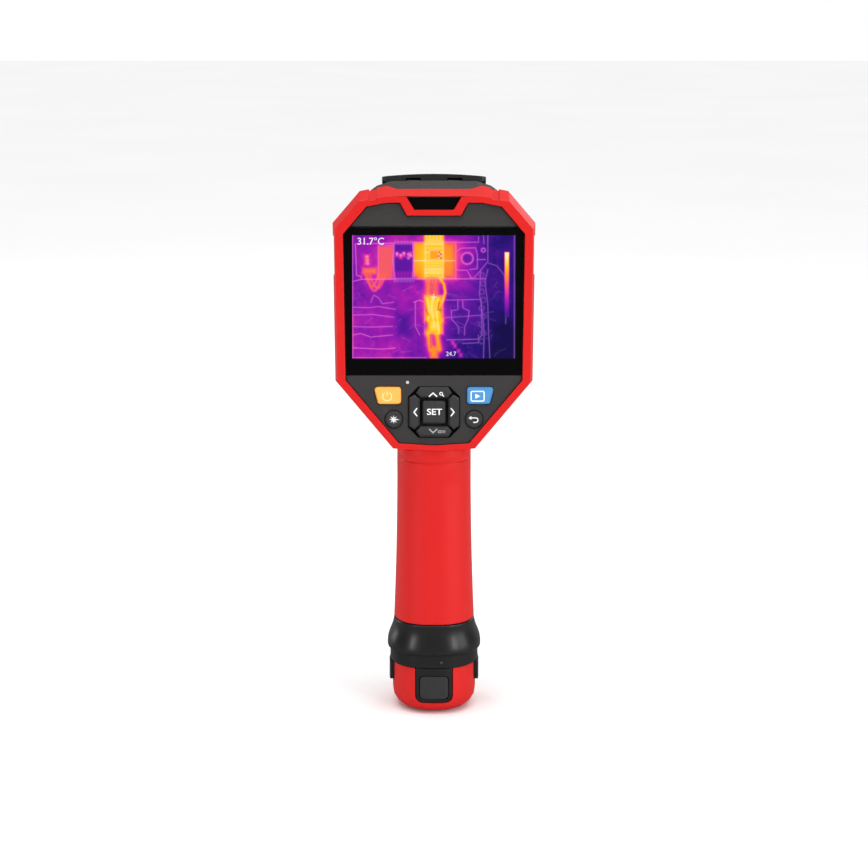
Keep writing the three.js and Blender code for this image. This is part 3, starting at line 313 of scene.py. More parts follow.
finishes.update(
    black_glass=polished("black_window", (0.002, 0.002, 0.002), 0.05, 0.03, IOR=1.35),
    circuit_board=board_finish(),
    steel=brushed("plated_steel", (0.56, 0.57, 0.59), 0.24),
    germanium=polished("coated_germanium", (0.06, 0.05, 0.10), 0.06, 0.03, Metallic=0.9),
    clear_lens=polished("clear_light_pipe", (0.62, 0.66, 0.66), 0.08, 0.05),
    cell_wrap=polished("shrink_sleeve", (0.02, 0.10, 0.36), 0.22, 0.10),
)
special_finishes = {
    "charge_led": polished("smoked_light_pipe", (0.05, 0.05, 0.05), 0.15, 0.05),
    "status_led": polished("milky_light_pipe", (0.50, 0.50, 0.49), 0.3, 0.05),
    "lens_cover": moulding("black_lid_moulding", (0.008, 0.008, 0.008), 0.42, 2800.0, 0.2, 0.6),
}
print(len(finishes), "finishes")

# %% [markdown]
# ## Softened edges
#
# A CAD solid has knife edges, and a real moulding has none, because plastic doesn't flow into a sharp corner.
# A Bevel modifier gives each edge its small radius, which is what catches a line of light. The meshes come as
# loose triangles, so a Weld modifier joins them first, and Weighted Normal keeps the flat faces flat.

# %% Soften every part
EDGE_RADIUS = {  # millimetres, and the least angle that counts as an edge, in degrees
    "head_bumper": (0.9, 9),
    "front_housing": (1.1, 14),
    "rear_housing": (0.3, 25),
    "grip_rear_shell": (0.4, 35),
    "grip_front_shell": (0.4, 35),
    "collar_ring": (0.25, 30),
    "battery_base": (0.3, 35),
    "lens_cover": (0.35, 25),
    "lens_bezel": (0.6, 25),
    "trigger": (0.9, 15),
    "port_flap": (0.3, 30),
    "port_panel": (0.25, 35),
    "latch_left": (0.8, 30),
    "latch_right": (0.8, 30),
    "set_button": (0.6, 30),
    "up_button": (0.45, 30),
    "down_button": (0.45, 30),
    "left_button": (0.45, 30),
    "right_button": (0.45, 30),
    "power_button": (0.8, 30),
    "playback_button": (0.8, 30),
    "lamp_button": (0.5, 30),
    "back_button": (0.5, 30),
}
USUAL_EDGE = (0.15, 35)
slot_of = {s["node"]: s["material_slot"] for s in frame["record"]["subparts"]}


def soften(piece, radius, least_angle):
    """Joins a part's triangles, rounds its edges and keeps its flat faces flat."""
    for face in piece.data.polygons:
        face.use_smooth = True
    weld = piece.modifiers.new("join triangles", "WELD")
    weld.merge_threshold = 2e-6
    bevel = piece.modifiers.new("edge radius", "BEVEL")
    bevel.width = radius * MM
    bevel.segments = 3
    bevel.limit_method = "ANGLE"
    bevel.angle_limit = math.radians(least_angle)
    normals = piece.modifiers.new("flat faces", "WEIGHTED_NORMAL")
    normals.keep_sharp = True
    normals.weight = 60


for name, node in nodes.items():
    soften(node, *EDGE_RADIUS.get(name, USUAL_EDGE))
    node.data.materials.clear()
    node.data.materials.append(special_finishes.get(name, finishes[slot_of[name]]))
print("softened", len(nodes), "parts")


# %% [markdown]
# ## Building blocks for new pieces
#
# A new piece is a mesh with its place in its vertices, a finish, and a body that it rides on.


# %% New pieces
def new_piece(name, points, faces, finish, body, smooth=False):
    """A mesh object, its points in metres, riding on a body."""
    mesh = bpy.data.meshes.new(name)
    mesh.from_pydata([tuple(p) for p in points], [], faces)
    mesh.validate()
    mesh.materials.append(finish)
    for face in mesh.polygons:
        face.use_smooth = smooth
    piece = bpy.data.objects.new(name, mesh)
    bpy.context.collection.objects.link(piece)
    tidy_normals(piece)
    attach(piece, body)
    return piece


def tidy_normals(piece):
    shape = bmesh.new()
    shape.from_mesh(piece.data)
    bmesh.ops.recalc_face_normals(shape, faces=shape.faces)
    shape.to_mesh(piece.data)
    shape.free()


# %% [markdown]
# ## The grip's rear shell
#
# The overmoulded half of the grip is a long soft curve, so it is remade with many more points than the solid
# has. Every level is a superellipse, a shape between an ellipse and a rectangle. Only its rear half is drawn,
# from one parting line round to the other, and the Solidify modifier gives it its wall.

# %% Superellipse rings
SQUARISH = 2.5
GRIP_FOOT = 41.8
GRIP_AT_FOOT = (17.9, 20.4, 19.4)  # half width, rear and front depth
GRIP_AT_NECK = (16.35, 18.6, 17.2)
NECK_REAR, NECK_FRONT = 20.6, 20.5
GRIP_TAPER = 62  # the height over which the grip narrows
FLARE_FOOT, FLARE_RISE = 103.8, 10
GRIP_SPLIT = 2.85  # the parting line stands this far in front of the middle
GRIP_LEVELS = 44


def oval(angle, half_width, rear, front):
    """A point on a superellipse whose rear, towards the user, and front have their own depths."""
    c, s = math.cos(angle), math.sin(angle)
    power = 2 / SQUARISH
    depth = rear if s < 0 else front
    return half_width * math.copysign(abs(c) ** power, c), depth * math.copysign(abs(s) ** power, s)


def grip_size(z):
    """Half width, rear and front depth of the grip at a height, in millimetres."""
    t = min(1, max(0, (z - GRIP_FOOT) / GRIP_TAPER))
    swell = 0.3 * math.sin(math.pi * t)
    half_width, rear, front = (a + (b - a) * t for a, b in zip(GRIP_AT_FOOT, GRIP_AT_NECK))
    flare = min(1, max(0, (z - FLARE_FOOT) / FLARE_RISE))
    flare = flare * flare * (3 - 2 * flare)
    rear += swell + (NECK_REAR - GRIP_AT_NECK[1]) * flare
    front += (NECK_FRONT - GRIP_AT_NECK[2]) * flare - 2 * swell
    return half_width - swell, rear, front


# %% [markdown]
# The rim of the shell has to meet the leaning head without a gap. The head's underside isn't one plane, so
# a ray goes up from each point of the rim, and the rim ends a hair inside whatever the ray meets first.

# %% Where the grip meets the head
HEAD_PLANE, HEAD_PLANE_AT = 120.3, -22.5  # a height just under the head, and the depth where it has it
RAY_BELOW, RAY_LENGTH = 1.5, 4.5
SUNK = 0.15

head_skins = [
    BVHTree.FromPolygons([v.co for v in mesh.vertices], [tuple(f.vertices) for f in mesh.polygons])
    for mesh in (bpy.data.objects[name].data for name in ("head_bumper", "front_housing"))
]


def under_head(x, y):
    """Height at which the grip's rim meets the leaning head, a hair inside its skin."""
    plane = HEAD_PLANE - math.tan(SCREEN_TILT) * (y - HEAD_PLANE_AT)
    start = Vector((x, y, plane - RAY_BELOW)) * MM
    reaches = (skin.ray_cast(start, Vector((0, 0, 1)), RAY_LENGTH * MM)[3] for skin in head_skins)
    found = [reach / MM for reach in reaches if reach is not None]
    return plane - RAY_BELOW + min(found) + SUNK if found else plane


def grip_turns(front, across):
    """Angles from one parting line round the rear to the other."""
    start = math.asin((GRIP_SPLIT / front) ** (SQUARISH / 2))
    return [start - (math.pi + 2 * start) * i / (across - 1) for i in range(across)]


def rim_heights(z, across):
    """Heights of the rim along one row of points, with its steps smoothed so that the wall can't fold."""
    half_width, rear, front = grip_size(z)
    met = [under_head(*oval(turn, half_width, rear, front)) for turn in grip_turns(front, across)]
    low = [min(met[max(0, i - 2) : i + 3]) for i in range(across)]
    return [float(np.mean(low[max(0, i - 2) : i + 3])) for i in range(across)]


# %% The rear shell
def rear_shell():
    across = 65
    edge = [(0.0, 0.55), (0.15, 0.22), (0.5, 0.0)]  # height above the foot, and how far in
    levels = [GRIP_FOOT + z for z, _ in edge] + list(np.linspace(GRIP_FOOT + 1.5, 114.2, GRIP_LEVELS))
    groove = [(114.9, 0.0), (115.15, 0.28), (115.5, 0.28), (115.75, 0.0)]
    pull = [p for _, p in edge] + [0.0] * GRIP_LEVELS + [p for _, p in groove]
    levels += [z for z, _ in groove]
    lifts = [0.0] * len(levels) + [0.4, 0.8, 1.0]
    levels += [115.75] * 3
    pull += [0.0, 0.0, 0.15]
    rim = rim_heights(levels[-1], across)
    points = []
    for z, inward, lift in zip(levels, pull, lifts):
        half_width, rear, front = (v - inward for v in grip_size(z))
        for top, turn in zip(rim, grip_turns(front, across)):
            x, y = oval(turn, half_width, rear, front)
            points.append(Vector((x, y, z + (top - z) * lift)) * MM)
    rows = len(levels)
    faces = [
        (r * across + c, (r + 1) * across + c, (r + 1) * across + c + 1, r * across + c + 1)
        for r in range(rows - 1)
        for c in range(across - 1)
    ]
    piece = new_piece(
        "grip_overmould", points, faces, finishes["red_shell"], "camera_body", smooth=True
    )
    face_outwards(piece)
    wall = piece.modifiers.new("wall", "SOLIDIFY")
    wall.thickness = 2.3 * MM
    wall.offset = -1
    rounding = piece.modifiers.new("rim", "BEVEL")
    rounding.width = 0.3 * MM
    rounding.segments = 2
    rounding.limit_method = "ANGLE"
    rounding.angle_limit = math.radians(50)
    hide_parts("grip_rear_shell")
    return piece


def face_outwards(piece):
    """Turns an open shell round the z axis so that its faces look away from the axis."""
    shape = bmesh.new()
    shape.from_mesh(piece.data)
    outward = sum(face.normal.dot(Vector((*face.calc_center_median().xy, 0))) for face in shape.faces)
    if outward < 0:
        bmesh.ops.reverse_faces(shape, faces=shape.faces)
    shape.to_mesh(piece.data)
    shape.free()


print("grip shell of", len(rear_shell().data.polygons), "faces")

# %% [markdown]
# ## The collar
#
# The black collar swells from the grip to its widest line, drops over a crisp ledge and ends in a straight
# band. Its profile is a list of heights and how far the skin stands outside the grip, at the sides and at the
# rear. The rows of points are joined by straight bands, which smooth shading makes look round.

# %% The collar's rings
COLLAR_FOOT = 21.9
COLLAR_WALL = 2.6
COLLAR_PROFILE = [  # height above the collar's foot, outside the grip at the sides, and at the rear
    (0.0, 1.45, 0.0),
    (0.3, 1.75, 0.1),
    (5.5, 1.85, 0.0),
    (5.75, 1.95, 0.1),
    (6.1, 2.75, 0.75),
    (6.4, 2.95, 0.95),
    (7.8, 2.98, 0.95),
    (9.4, 2.75, 0.72),
    (11.2, 2.2, 0.38),
    (13.0, 1.45, 0.05),
    (14.8, 0.8, -0.2),
    (16.6, 0.35, -0.3),
    (18.2, 0.1, -0.2),
    (19.2, 0.0, -0.05),
    (19.6, -0.3, -0.3),
]


def collar_shell():
    around_count = 128
    inner = [(19.6, -COLLAR_WALL, -COLLAR_WALL), (0.0, -COLLAR_WALL + 1.2, -COLLAR_WALL)]
    points = []
    for rise, wide, deep in COLLAR_PROFILE + inner:
        for i in range(around_count):
            width, rear, front = (size + out for size, out in zip(GRIP_AT_FOOT, (wide, deep, deep)))
            x, y = oval(math.tau * i / around_count, width, rear, front)
            points.append(Vector((x, y, COLLAR_FOOT + rise)) * MM)
    rows = len(COLLAR_PROFILE) + len(inner)
    faces = []
    for r in range(rows):
        here, above = r * around_count, (r + 1) % rows * around_count
        for i in range(around_count):
            j = (i + 1) % around_count
            faces.append((here + i, here + j, above + j, above + i))
    piece = new_piece(
        "collar_shell", points, faces, finishes["black_shell"], "camera_body", smooth=True
    )
    normals = piece.modifiers.new("flat faces", "WEIGHTED_NORMAL")
    normals.weight = 60
    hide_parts("collar_ring")
    return piece


print("collar of", len(collar_shell().data.polygons), "faces")

# %% [markdown]
# ## Screws
#
# Six screws hold the case: four in the head's front and two in the grip. They are one shape repeated, so
# Geometry Nodes make them: a disc is extruded into a head with a rounded shoulder, a six-pointed star is cut
# out of it, and a copy stands on each point of a small mesh that only marks the places.


# %% A tree that makes screws
def nodes_tree(name, inputs):
    """An empty Geometry Nodes tree, with its sockets and the two end nodes."""
    tree = bpy.data.node_groups.new(name, "GeometryNodeTree")
    tree.interface.new_socket("Geometry", in_out="INPUT", socket_type="NodeSocketGeometry")
    for label, kind, value in inputs:
        socket = tree.interface.new_socket(label, in_out="INPUT", socket_type=kind)
        if value is not None:
            socket.default_value = value
    tree.interface.new_socket("Geometry", in_out="OUTPUT", socket_type="NodeSocketGeometry")
    return tree, tree.nodes.new("NodeGroupInput"), tree.nodes.new("NodeGroupOutput")


def grow(tree, mesh, rise, scale, selection=None):
    """Extrudes the chosen face upwards and widens or narrows its end."""
    lift = add(tree, "ShaderNodeCombineXYZ", {"Z": rise})
    links = {"Mesh": mesh, "Offset": lift.outputs["Vector"]}
    if selection:
        links["Selection"] = selection
    out = add(tree, "GeometryNodeExtrudeMesh", links)
    out.inputs["Offset Scale"].default_value = 1.0
    top = {"Geometry": out.outputs["Mesh"], "Selection": out.outputs["Top"]}
    sized = add(tree, "GeometryNodeScaleElements", top)
    sized.inputs["Scale"].default_value = scale
    return sized.outputs["Geometry"], out.outputs["Top"]


def closed_solid(tree, sides, base):
    """Joins grown walls to their turned-over base and merges the seam."""
    turned = add(tree, "GeometryNodeFlipFaces", {"Mesh": base})
    whole = add(tree, "GeometryNodeJoinGeometry")
    tree.links.new(sides, whole.inputs["Geometry"])
    tree.links.new(turned.outputs["Mesh"], whole.inputs["Geometry"])
    closed = add(tree, "GeometryNodeMergeByDistance", {"Geometry": whole.outputs["Geometry"]})
    closed.inputs["Distance"].default_value = 1e-6
    return closed.outputs["Geometry"]


def filled(tree, curve):
    """A flat face inside a curve."""
    face = add(tree, "GeometryNodeFillCurve", {"Curve": curve})
    face.mode = "NGONS"
    return face.outputs["Mesh"]


def finished(tree, geometry, given, made):
    """Gives the result its finish and hands it out of the tree."""
    coloured = add(tree, "GeometryNodeSetMaterial", {"Geometry": geometry, "Material": given.outputs["Finish"]})
    tree.links.new(coloured.outputs["Geometry"], made.inputs["Geometry"])
    return tree


def screw_tree():
    tree, given, made = nodes_tree(
        "screws",
        [
            ("Head Radius", "NodeSocketFloat", 2.5 * MM),
            ("Head Height", "NodeSocketFloat", 1.6 * MM),
            ("Recess Depth", "NodeSocketFloat", 1.0 * MM),
            ("Finish", "NodeSocketMaterial", None),
        ],
    )
    radius, height = given.outputs["Head Radius"], given.outputs["Head Height"]
    rim = add(tree, "GeometryNodeCurvePrimitiveCircle", {"Radius": radius})
    rim.inputs["Resolution"].default_value = 40
    disc = filled(tree, rim.outputs["Curve"])
    mesh, top = grow(tree, disc, compute(tree, "MULTIPLY", height, 0.72), 1.0)
    for rise, scale in ((0.16, 0.965), (0.09, 0.93)):
        mesh, top = grow(tree, mesh, compute(tree, "MULTIPLY", height, rise), scale, top)
    closed = closed_solid(tree, mesh, disc)
    star = add(tree, "GeometryNodeCurveStar")
    star.inputs["Points"].default_value = 6
    tree.links.new(compute(tree, "MULTIPLY", radius, 0.34), star.inputs["Inner Radius"])
    tree.links.new(compute(tree, "MULTIPLY", radius, 0.56), star.inputs["Outer Radius"])
    pit = filled(tree, star.outputs["Curve"])
    cutter = closed_solid(tree, grow(tree, pit, height, 1.0)[0], pit)
    sink = compute(tree, "SUBTRACT", height, given.outputs["Recess Depth"])
    place = add(tree, "ShaderNodeCombineXYZ", {"Z": sink}).outputs["Vector"]
    placed = add(tree, "GeometryNodeTransform", {"Geometry": cutter, "Translation": place})
    cut = add(tree, "GeometryNodeMeshBoolean", operation="DIFFERENCE")
    tree.links.new(closed, cut.inputs["Mesh 1"])
    tree.links.new(placed.outputs["Geometry"], cut.inputs["Mesh 2"])
    copies = {"Points": given.outputs["Geometry"], "Instance": cut.outputs["Mesh"]}
    turn = add(tree, "GeometryNodeInstanceOnPoints", copies)
    turn.inputs["Rotation"].default_value = (math.radians(-90), 0, 0)
    solid = add(tree, "GeometryNodeRealizeInstances", {"Geometry": turn.outputs["Instances"]})
    return finished(tree, solid.outputs["Geometry"], given, made)


# %% Geometry Nodes made into plain meshes
def grown_piece(name, marks, edges, tree, values, body):
    """Runs a tree on a small guide mesh and keeps the result as a piece."""
    guide = bpy.data.meshes.new(name + "_guide")
    guide.from_pydata([tuple(v) for v in marks], edges, [])
    source = bpy.data.objects.new(name + "_guide", guide)
    bpy.context.collection.objects.link(source)
    modifier = source.modifiers.new("nodes", "NODES")
    modifier.node_group = tree
    for socket in tree.interface.items_tree:
        if socket.item_type == "SOCKET" and socket.in_out == "INPUT" and socket.name in values:
            modifier[socket.identifier] = values[socket.name]
    graph = bpy.context.evaluated_depsgraph_get()
    mesh = bpy.data.meshes.new_from_object(source.evaluated_get(graph))
    source.modifiers.remove(modifier)
    bpy.data.objects.remove(source)
    piece = bpy.data.objects.new(name, mesh)
    piece.data.name = name
    bpy.context.collection.objects.link(piece)
    tidy_normals(piece)
    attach(piece, body)
    return piece


def screws_for(name, replaced, tree, head_radius):
    """Screws whose heads end where the solid ones end, facing away from the user."""
    places = []
    for node in replaced:
        low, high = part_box(node)
        places.append(((low.x + high.x) / 2, high.y - 1.8 * MM, (low.z + high.z) / 2))
    values = {
        "Head Radius": head_radius * MM,
        "Head Height": 1.8 * MM,
        "Recess Depth": 1.1 * MM,
        "Finish": finishes["steel"],
    }
    piece = grown_piece(name, places, [], tree, values, "camera_body")
    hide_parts(*replaced)
    return piece


screws = screw_tree()
head_screws = screws_for("head_screws", [f"head_screw_{k}" for k in (1, 2, 3, 4)], screws, 2.6)
grip_screws = screws_for("grip_screws", ["grip_screw_1", "grip_screw_2"], screws, 2.1)
print("screws of", len(head_screws.data.polygons), "and", len(grip_screws.data.polygons), "faces")

# %% [markdown]
# ## Finger ribs
#
# Low ribs under the fingers keep the grip from turning in the hand. One path across the front shell is swept
# by a small half-round profile, and copies of the path step up the grip. The step, the count and the rib's
# thickness are inputs, so a different pattern is a matter of three numbers.


# %% A tree that makes ribs
def rib_tree():
    tree, given, made = nodes_tree(
        "finger_ribs",
        [
            ("Count", "NodeSocketInt", 9),
            ("Step", "NodeSocketFloat", 3.4 * MM),
            ("Thickness", "NodeSocketFloat", 0.5 * MM),
            ("Narrowing", "NodeSocketFloat", 0.006),
            ("Finish", "NodeSocketMaterial", None),
        ],
    )
    rise = add(tree, "ShaderNodeCombineXYZ", {"Z": given.outputs["Step"]}).outputs["Vector"]
    steps = add(tree, "GeometryNodeMeshLine", {"Count": given.outputs["Count"], "Offset": rise})
    path = add(tree, "GeometryNodeMeshToCurve", {"Mesh": given.outputs["Geometry"]})
    index = add(tree, "GeometryNodeInputIndex").outputs["Index"]
    scale = compute(tree, "SUBTRACT", 1.0, compute(tree, "MULTIPLY", index, given.outputs["Narrowing"]))
    where = {"Points": steps.outputs["Mesh"], "Instance": path.outputs["Curve"]}
    copies = add(tree, "GeometryNodeInstanceOnPoints", where)
    size = add(tree, "ShaderNodeCombineXYZ", {"X": scale, "Y": scale})
    size.inputs["Z"].default_value = 1.0
    tree.links.new(size.outputs["Vector"], copies.inputs["Scale"])
    lines = add(tree, "GeometryNodeRealizeInstances", {"Geometry": copies.outputs["Instances"]})
    profile = add(tree, "GeometryNodeCurvePrimitiveCircle", {"Radius": given.outputs["Thickness"]})
    profile.inputs["Resolution"].default_value = 12
    sweep = {"Curve": lines.outputs["Geometry"], "Profile Curve": profile.outputs["Curve"]}
    swept = add(tree, "GeometryNodeCurveToMesh", sweep)
    swept.inputs["Fill Caps"].default_value = True
    smooth = add(tree, "GeometryNodeSetShadeSmooth", {"Geometry": swept.outputs["Mesh"]})
    return finished(tree, smooth.outputs["Geometry"], given, made)


# %% Ribs on the front of the grip
RIB_FOOT = 55.0
RIB_SUNK = 0.12
RIB_POINTS = 33
RIB_FROM, RIB_SWEEP = 52, 76  # degrees round the front of the grip
RIB_DIP = 0.3

rib_middle = (RIB_POINTS - 1) / 2
rib_path = []
for i in range(RIB_POINTS):
    x, y = oval(math.radians(RIB_FROM + RIB_SWEEP * i / (RIB_POINTS - 1)), *grip_size(RIB_FOOT))
    rib_path.append(Vector((x, y - RIB_SUNK - RIB_DIP * abs(i - rib_middle) / rib_middle, 0)) * MM)
rib_sizes = {"Count": 9, "Step": 3.3 * MM, "Thickness": 0.5 * MM, "Narrowing": 0.0055}
ribs = grown_piece(
    "finger_ribs",
    rib_path,
    [(i, i + 1) for i in range(RIB_POINTS - 1)],
    rib_tree(),
    {**rib_sizes, "Finish": finishes["charcoal_shell"]},
    "camera_body",
)
for vertex in ribs.data.vertices:
    vertex.co.z += RIB_FOOT * MM
print("ribs of", len(ribs.data.polygons), "faces")

# %% [markdown]
# ## Printed marks
#
# The marks on the keys are printed in thick ink: strokes of even width, a few hundredths of a millimetre
# proud. Each stroke is a ribbon along a line of points, with its corners mitred, and then given thickness.

# %% Ribbons of ink
INK_FRONT = KEY_FACE - 0.05
INK_BACK = KEY_FACE + 0.03


def ribbon(line, width, closed):
    """Left and right edges of a stroke of even width along a line of (x, height) points."""
    line = [Vector(p) for p in line]
    count = len(line)
    left, right = [], []
    for i, point in enumerate(line):
        before = line[i - 1] if closed or i else point
        after = line[(i + 1) % count] if closed or i < count - 1 else point
        one = (point - before).normalized() if point != before else (after - point).normalized()
        two = (after - point).normalized() if after != point else one
        across = Vector((-(one + two).y, (one + two).x)).normalized()
        reach = width / 2 / max(0.35, across.dot(Vector((-one.y, one.x))))
        left.append(point + across * reach)
        right.append(point - across * reach)
    return left, right


def print_mark(name, strokes, fills, finish, body, front=INK_FRONT, back=INK_BACK):
    """Strokes are (points, width, closed), and fills are closed outlines."""
    points, faces = [], []
    for line, width, closed in strokes:
        left, right = ribbon(line, width, closed)
        start, count = len(points), len(left)
        for edge, depth in ((left, front), (right, front), (left, back), (right, back)):
            points += [on_head(p.x, depth, p.y) for p in edge]
        lf, rf, lb, rb = (start + k * count for k in range(4))
        for i in range(count if closed else count - 1):
            j = (i + 1) % count
            faces += [
                (lf + i, rf + i, rf + j, lf + j),
                (lb + i, lb + j, rb + j, rb + i),
                (lf + i, lf + j, lb + j, lb + i),
                (rf + i, rb + i, rb + j, rf + j),
            ]
        if not closed:
            end = count - 1
            faces += [(lf, lb, rb, rf), (lf + end, rf + end, rb + end, lb + end)]
    for outline in fills:
        start, count = len(points), len(outline)
        points += [on_head(x, front, h) for x, h in outline] + [on_head(x, back, h) for x, h in outline]
        faces.append(tuple(range(start, start + count)))
        faces.append(tuple(range(start + 2 * count - 1, start + count - 1, -1)))
        for i in range(count):
            j = (i + 1) % count
            faces.append((start + i, start + count + i, start + count + j, start + j))
    return new_piece(name, points, faces, finish, body)


def arc(x, height, radius, start, end, count=24):
    """Points on a part of a circle, with its angles in degrees."""
    turn = [math.radians(start + (end - start) * i / count) for i in range(count + 1)]
    return [(x + radius * math.cos(a), height + radius * math.sin(a)) for a in turn]


# %% Inks
white_ink = moulding("white_ink", (0.80, 0.81, 0.82), 0.45, 3000.0, 0.05, 0.0)
grey_ink = moulding("grey_ink", (0.33, 0.34, 0.35), 0.5, 3000.0, 0.05, 0.0)
cream_ink = moulding("cream_ink", (0.95, 0.64, 0.30), 0.45, 3000.0, 0.05, 0.0)
sky_ink = moulding("pale_ink", (0.72, 0.84, 0.92), 0.45, 3000.0, 0.05, 0.0)

# %% Arrows round the middle key
CHEVRON = 1.75  # half the span of an arrow
STROKE = 0.5
p = PAD_HEIGHT
print_mark(
    "up_mark",
    [
        ([(-0.4 - CHEVRON, p + 6.7), (-0.4, p + 8.3), (-0.4 + CHEVRON, p + 6.7)], STROKE, False),
        (arc(3.1, p + 8.0, 0.62, 0, 345), 0.3, True),
        ([(3.6, p + 7.5), (4.3, p + 6.8)], 0.42, False),
    ],
    [],
    white_ink,
    "up_button",
)
print_mark(
    "down_mark",
    [
        ([(-0.4 - CHEVRON, p - 7.3), (-0.4, p - 8.9), (-0.4 + CHEVRON, p - 7.3)], STROKE, False),
        ([(1.8, p - 8.9), (1.8, p - 8.0), (3.4, p - 8.0), (3.4, p - 8.9)], 0.22, True),
        ([(2.3, p - 8.45), (3.0, p - 8.45)], 0.22, False),
        ([(3.8, p - 8.2), (4.8, p - 7.9)], 0.2, False),
        ([(3.8, p - 8.45), (5.0, p - 8.45)], 0.2, False),
        ([(3.8, p - 8.7), (4.8, p - 9.0)], 0.2, False),
    ],
    [],
    grey_ink,
    "down_button",
)
for name, side in (("left", -1), ("right", 1)):
    print_mark(
        f"{name}_mark",
        [([(side * 7.3, p + CHEVRON), (side * 8.7, p), (side * 7.3, p - CHEVRON)], STROKE, False)],
        [],
        white_ink,
        f"{name}_button",
    )
print("arrows printed")

# %% Power, playback, lamp and back
print_mark(
    "power_mark",
    [
        (arc(-20.3, 33.2, 1.9, 125, 415), 0.42, False),
        ([(-20.3, 33.2), (-20.3, 35.4)], 0.42, False),
    ],
    [],
    cream_ink,
    "power_button",
)
frame_corner = 0.6
playback_frame = [
    point
    for x, h, start in (
        (18.9 + 2.2, 33.3 + 1.5, 0),
        (18.9 - 2.2, 33.3 + 1.5, 90),
        (18.9 - 2.2, 33.3 - 1.5, 180),
        (18.9 + 2.2, 33.3 - 1.5, 270),
    )
    for point in arc(x, h, frame_corner, start, start + 90, 4)
]
print_mark(
    "playback_mark",
    [(playback_frame, 0.5, True)],
    [[(17.9, 34.35), (17.9, 32.25), (20.1, 33.3)]],
    sky_ink,
    "playback_button",
)
rays = []
for k in range(8):
    turn = math.radians(45 * k)
    far = 2.7 if k == 0 else 1.95
    rays.append(
        [
            (-17.5 + 0.5 * math.cos(turn - 0.7), 23.2 + 0.5 * math.sin(turn - 0.7)),
            (-17.5 + far * math.cos(turn), 23.2 + far * math.sin(turn)),
            (-17.5 + 0.5 * math.cos(turn + 0.7), 23.2 + 0.5 * math.sin(turn + 0.7)),
        ]
    )
print_mark(
    "lamp_mark", [], rays + [arc(-17.5, 23.2, 0.95, 0, 345, 23)], white_ink, "lamp_button"
)
back_line = [(15.4, 23.9), (18.0, 23.9)] + arc(18.1, 22.95, 0.95, 90, -90, 10) + [(17.0, 22.0)]
print_mark(
    "back_mark",
    [(back_line, 0.42, False)],
    [[(14.9, 23.9), (16.2, 24.7), (16.2, 23.1)]],
    white_ink,
    "back_button",
)
print("marks printed")


# %% [markdown]
# ## Letters
#
# The middle key confirms a choice and carries the usual short word for it. A text object gives the outlines;
# it is made a mesh first, and its points are then laid on the key.


# %% Text on the head
def letters(name, text, size, x, height, depth, finish, body, thick=0.05, bold=0.0, wide=1.0):
    """A word whose middle is at (x, height) on the head, in millimetres."""
    curve = bpy.data.curves.new(name, "FONT")
    curve.body = text
    curve.size = size
    curve.align_x = "CENTER"
    curve.align_y = "CENTER"
    curve.offset = bold
    curve.extrude = thick / 2
    source = bpy.data.objects.new(name, curve)
    bpy.context.collection.objects.link(source)
    bpy.context.view_layer.update()
    mesh = bpy.data.meshes.new_from_object(source)
    bpy.data.objects.remove(source)
    points = [on_head(x + v.co.x * wide, depth - v.co.z, height + v.co.y) for v in mesh.vertices]
    faces = [tuple(f.vertices) for f in mesh.polygons]
    return new_piece(name, points, faces, finish, body)


letters(
    "set_mark", "SET", 3.7, 0.2, p, KEY_FACE - 0.01, white_ink, "set_button", bold=0.05, wide=1.16
)

# %% [markdown]
# ## The picture on the display
#
# The display shows heat, not light: a fuse board with one hot group of wires. It is drawn as a field of
# temperatures from 0 to 1 on a fine grid, made of soft-edged boxes, lines and clouds. The finish then turns
# heat into colour with the palette that such cameras use, from navy through violet and orange to white.

# %% A field of temperatures
GRID_STEP = 0.2
columns = int(2 * PICTURE_HALF / GRID_STEP)
rows = int((PICTURE_TOP - PICTURE_FOOT) / GRID_STEP)
U, V = np.meshgrid(np.linspace(0, 1140, columns + 1), np.linspace(0, 865, rows + 1))


def soft(distance, blur):
    """One inside a shape and nought outside, with a blurred edge."""
    return 1 / (1 + np.exp(np.clip(distance / blur, -30, 30)))


def box_shape(x0, y0, x1, y1, blur=4.0):
    reach = np.maximum(np.abs(U - (x0 + x1) / 2) - (x1 - x0) / 2, np.abs(V - (y0 + y1) / 2) - (y1 - y0) / 2)
    return soft(reach, blur)


def line_shape(points, width, blur):
    nearest = np.full_like(U, 1e9)
    for (x0, y0), (x1, y1) in zip(points, points[1:]):
        dx, dy = x1 - x0, y1 - y0
        along = np.clip(((U - x0) * dx + (V - y0) * dy) / (dx * dx + dy * dy + 1e-9), 0, 1)
        nearest = np.minimum(nearest, np.hypot(U - x0 - along * dx, V - y0 - along * dy))
    return soft(nearest - width / 2, blur)


def ring_shape(x, y, radius, width):
    return soft(np.abs(np.hypot(U - x, V - y) - radius) - width / 2, 2.5)


def cloud_field(step, seed):
    """Smooth random values with about one hill in every step units."""
    rng = np.random.default_rng(seed)
    coarse = rng.random((int(865 / step) + 3, int(1140 / step) + 3))
    x, y = U / step, V / step
    i, j = y.astype(int), x.astype(int)
    a, b = y - i, x - j
    a, b = a * a * (3 - 2 * a), b * b * (3 - 2 * b)
    low = coarse[i, j] * (1 - b) + coarse[i, j + 1] * b
    high = coarse[i + 1, j] * (1 - b) + coarse[i + 1, j + 1] * b
    return low * (1 - a) + high * a


heat = 0.355 - 0.15 * soft(900 - U, 45) - 0.07 * soft(700 - U, 120)
heat += 0.09 * (cloud_field(150, 3) - 0.5) + 0.07 * (cloud_field(60, 4) - 0.5) + 0.05 * (cloud_field(22, 5) - 0.5)
heat -= 0.15 * soft(560 - U, 90) * soft(620 - V, 80)
heat += 0.05 * soft(U - 330, 60) * soft(640 - V, 60)
relief = np.zeros_like(heat)


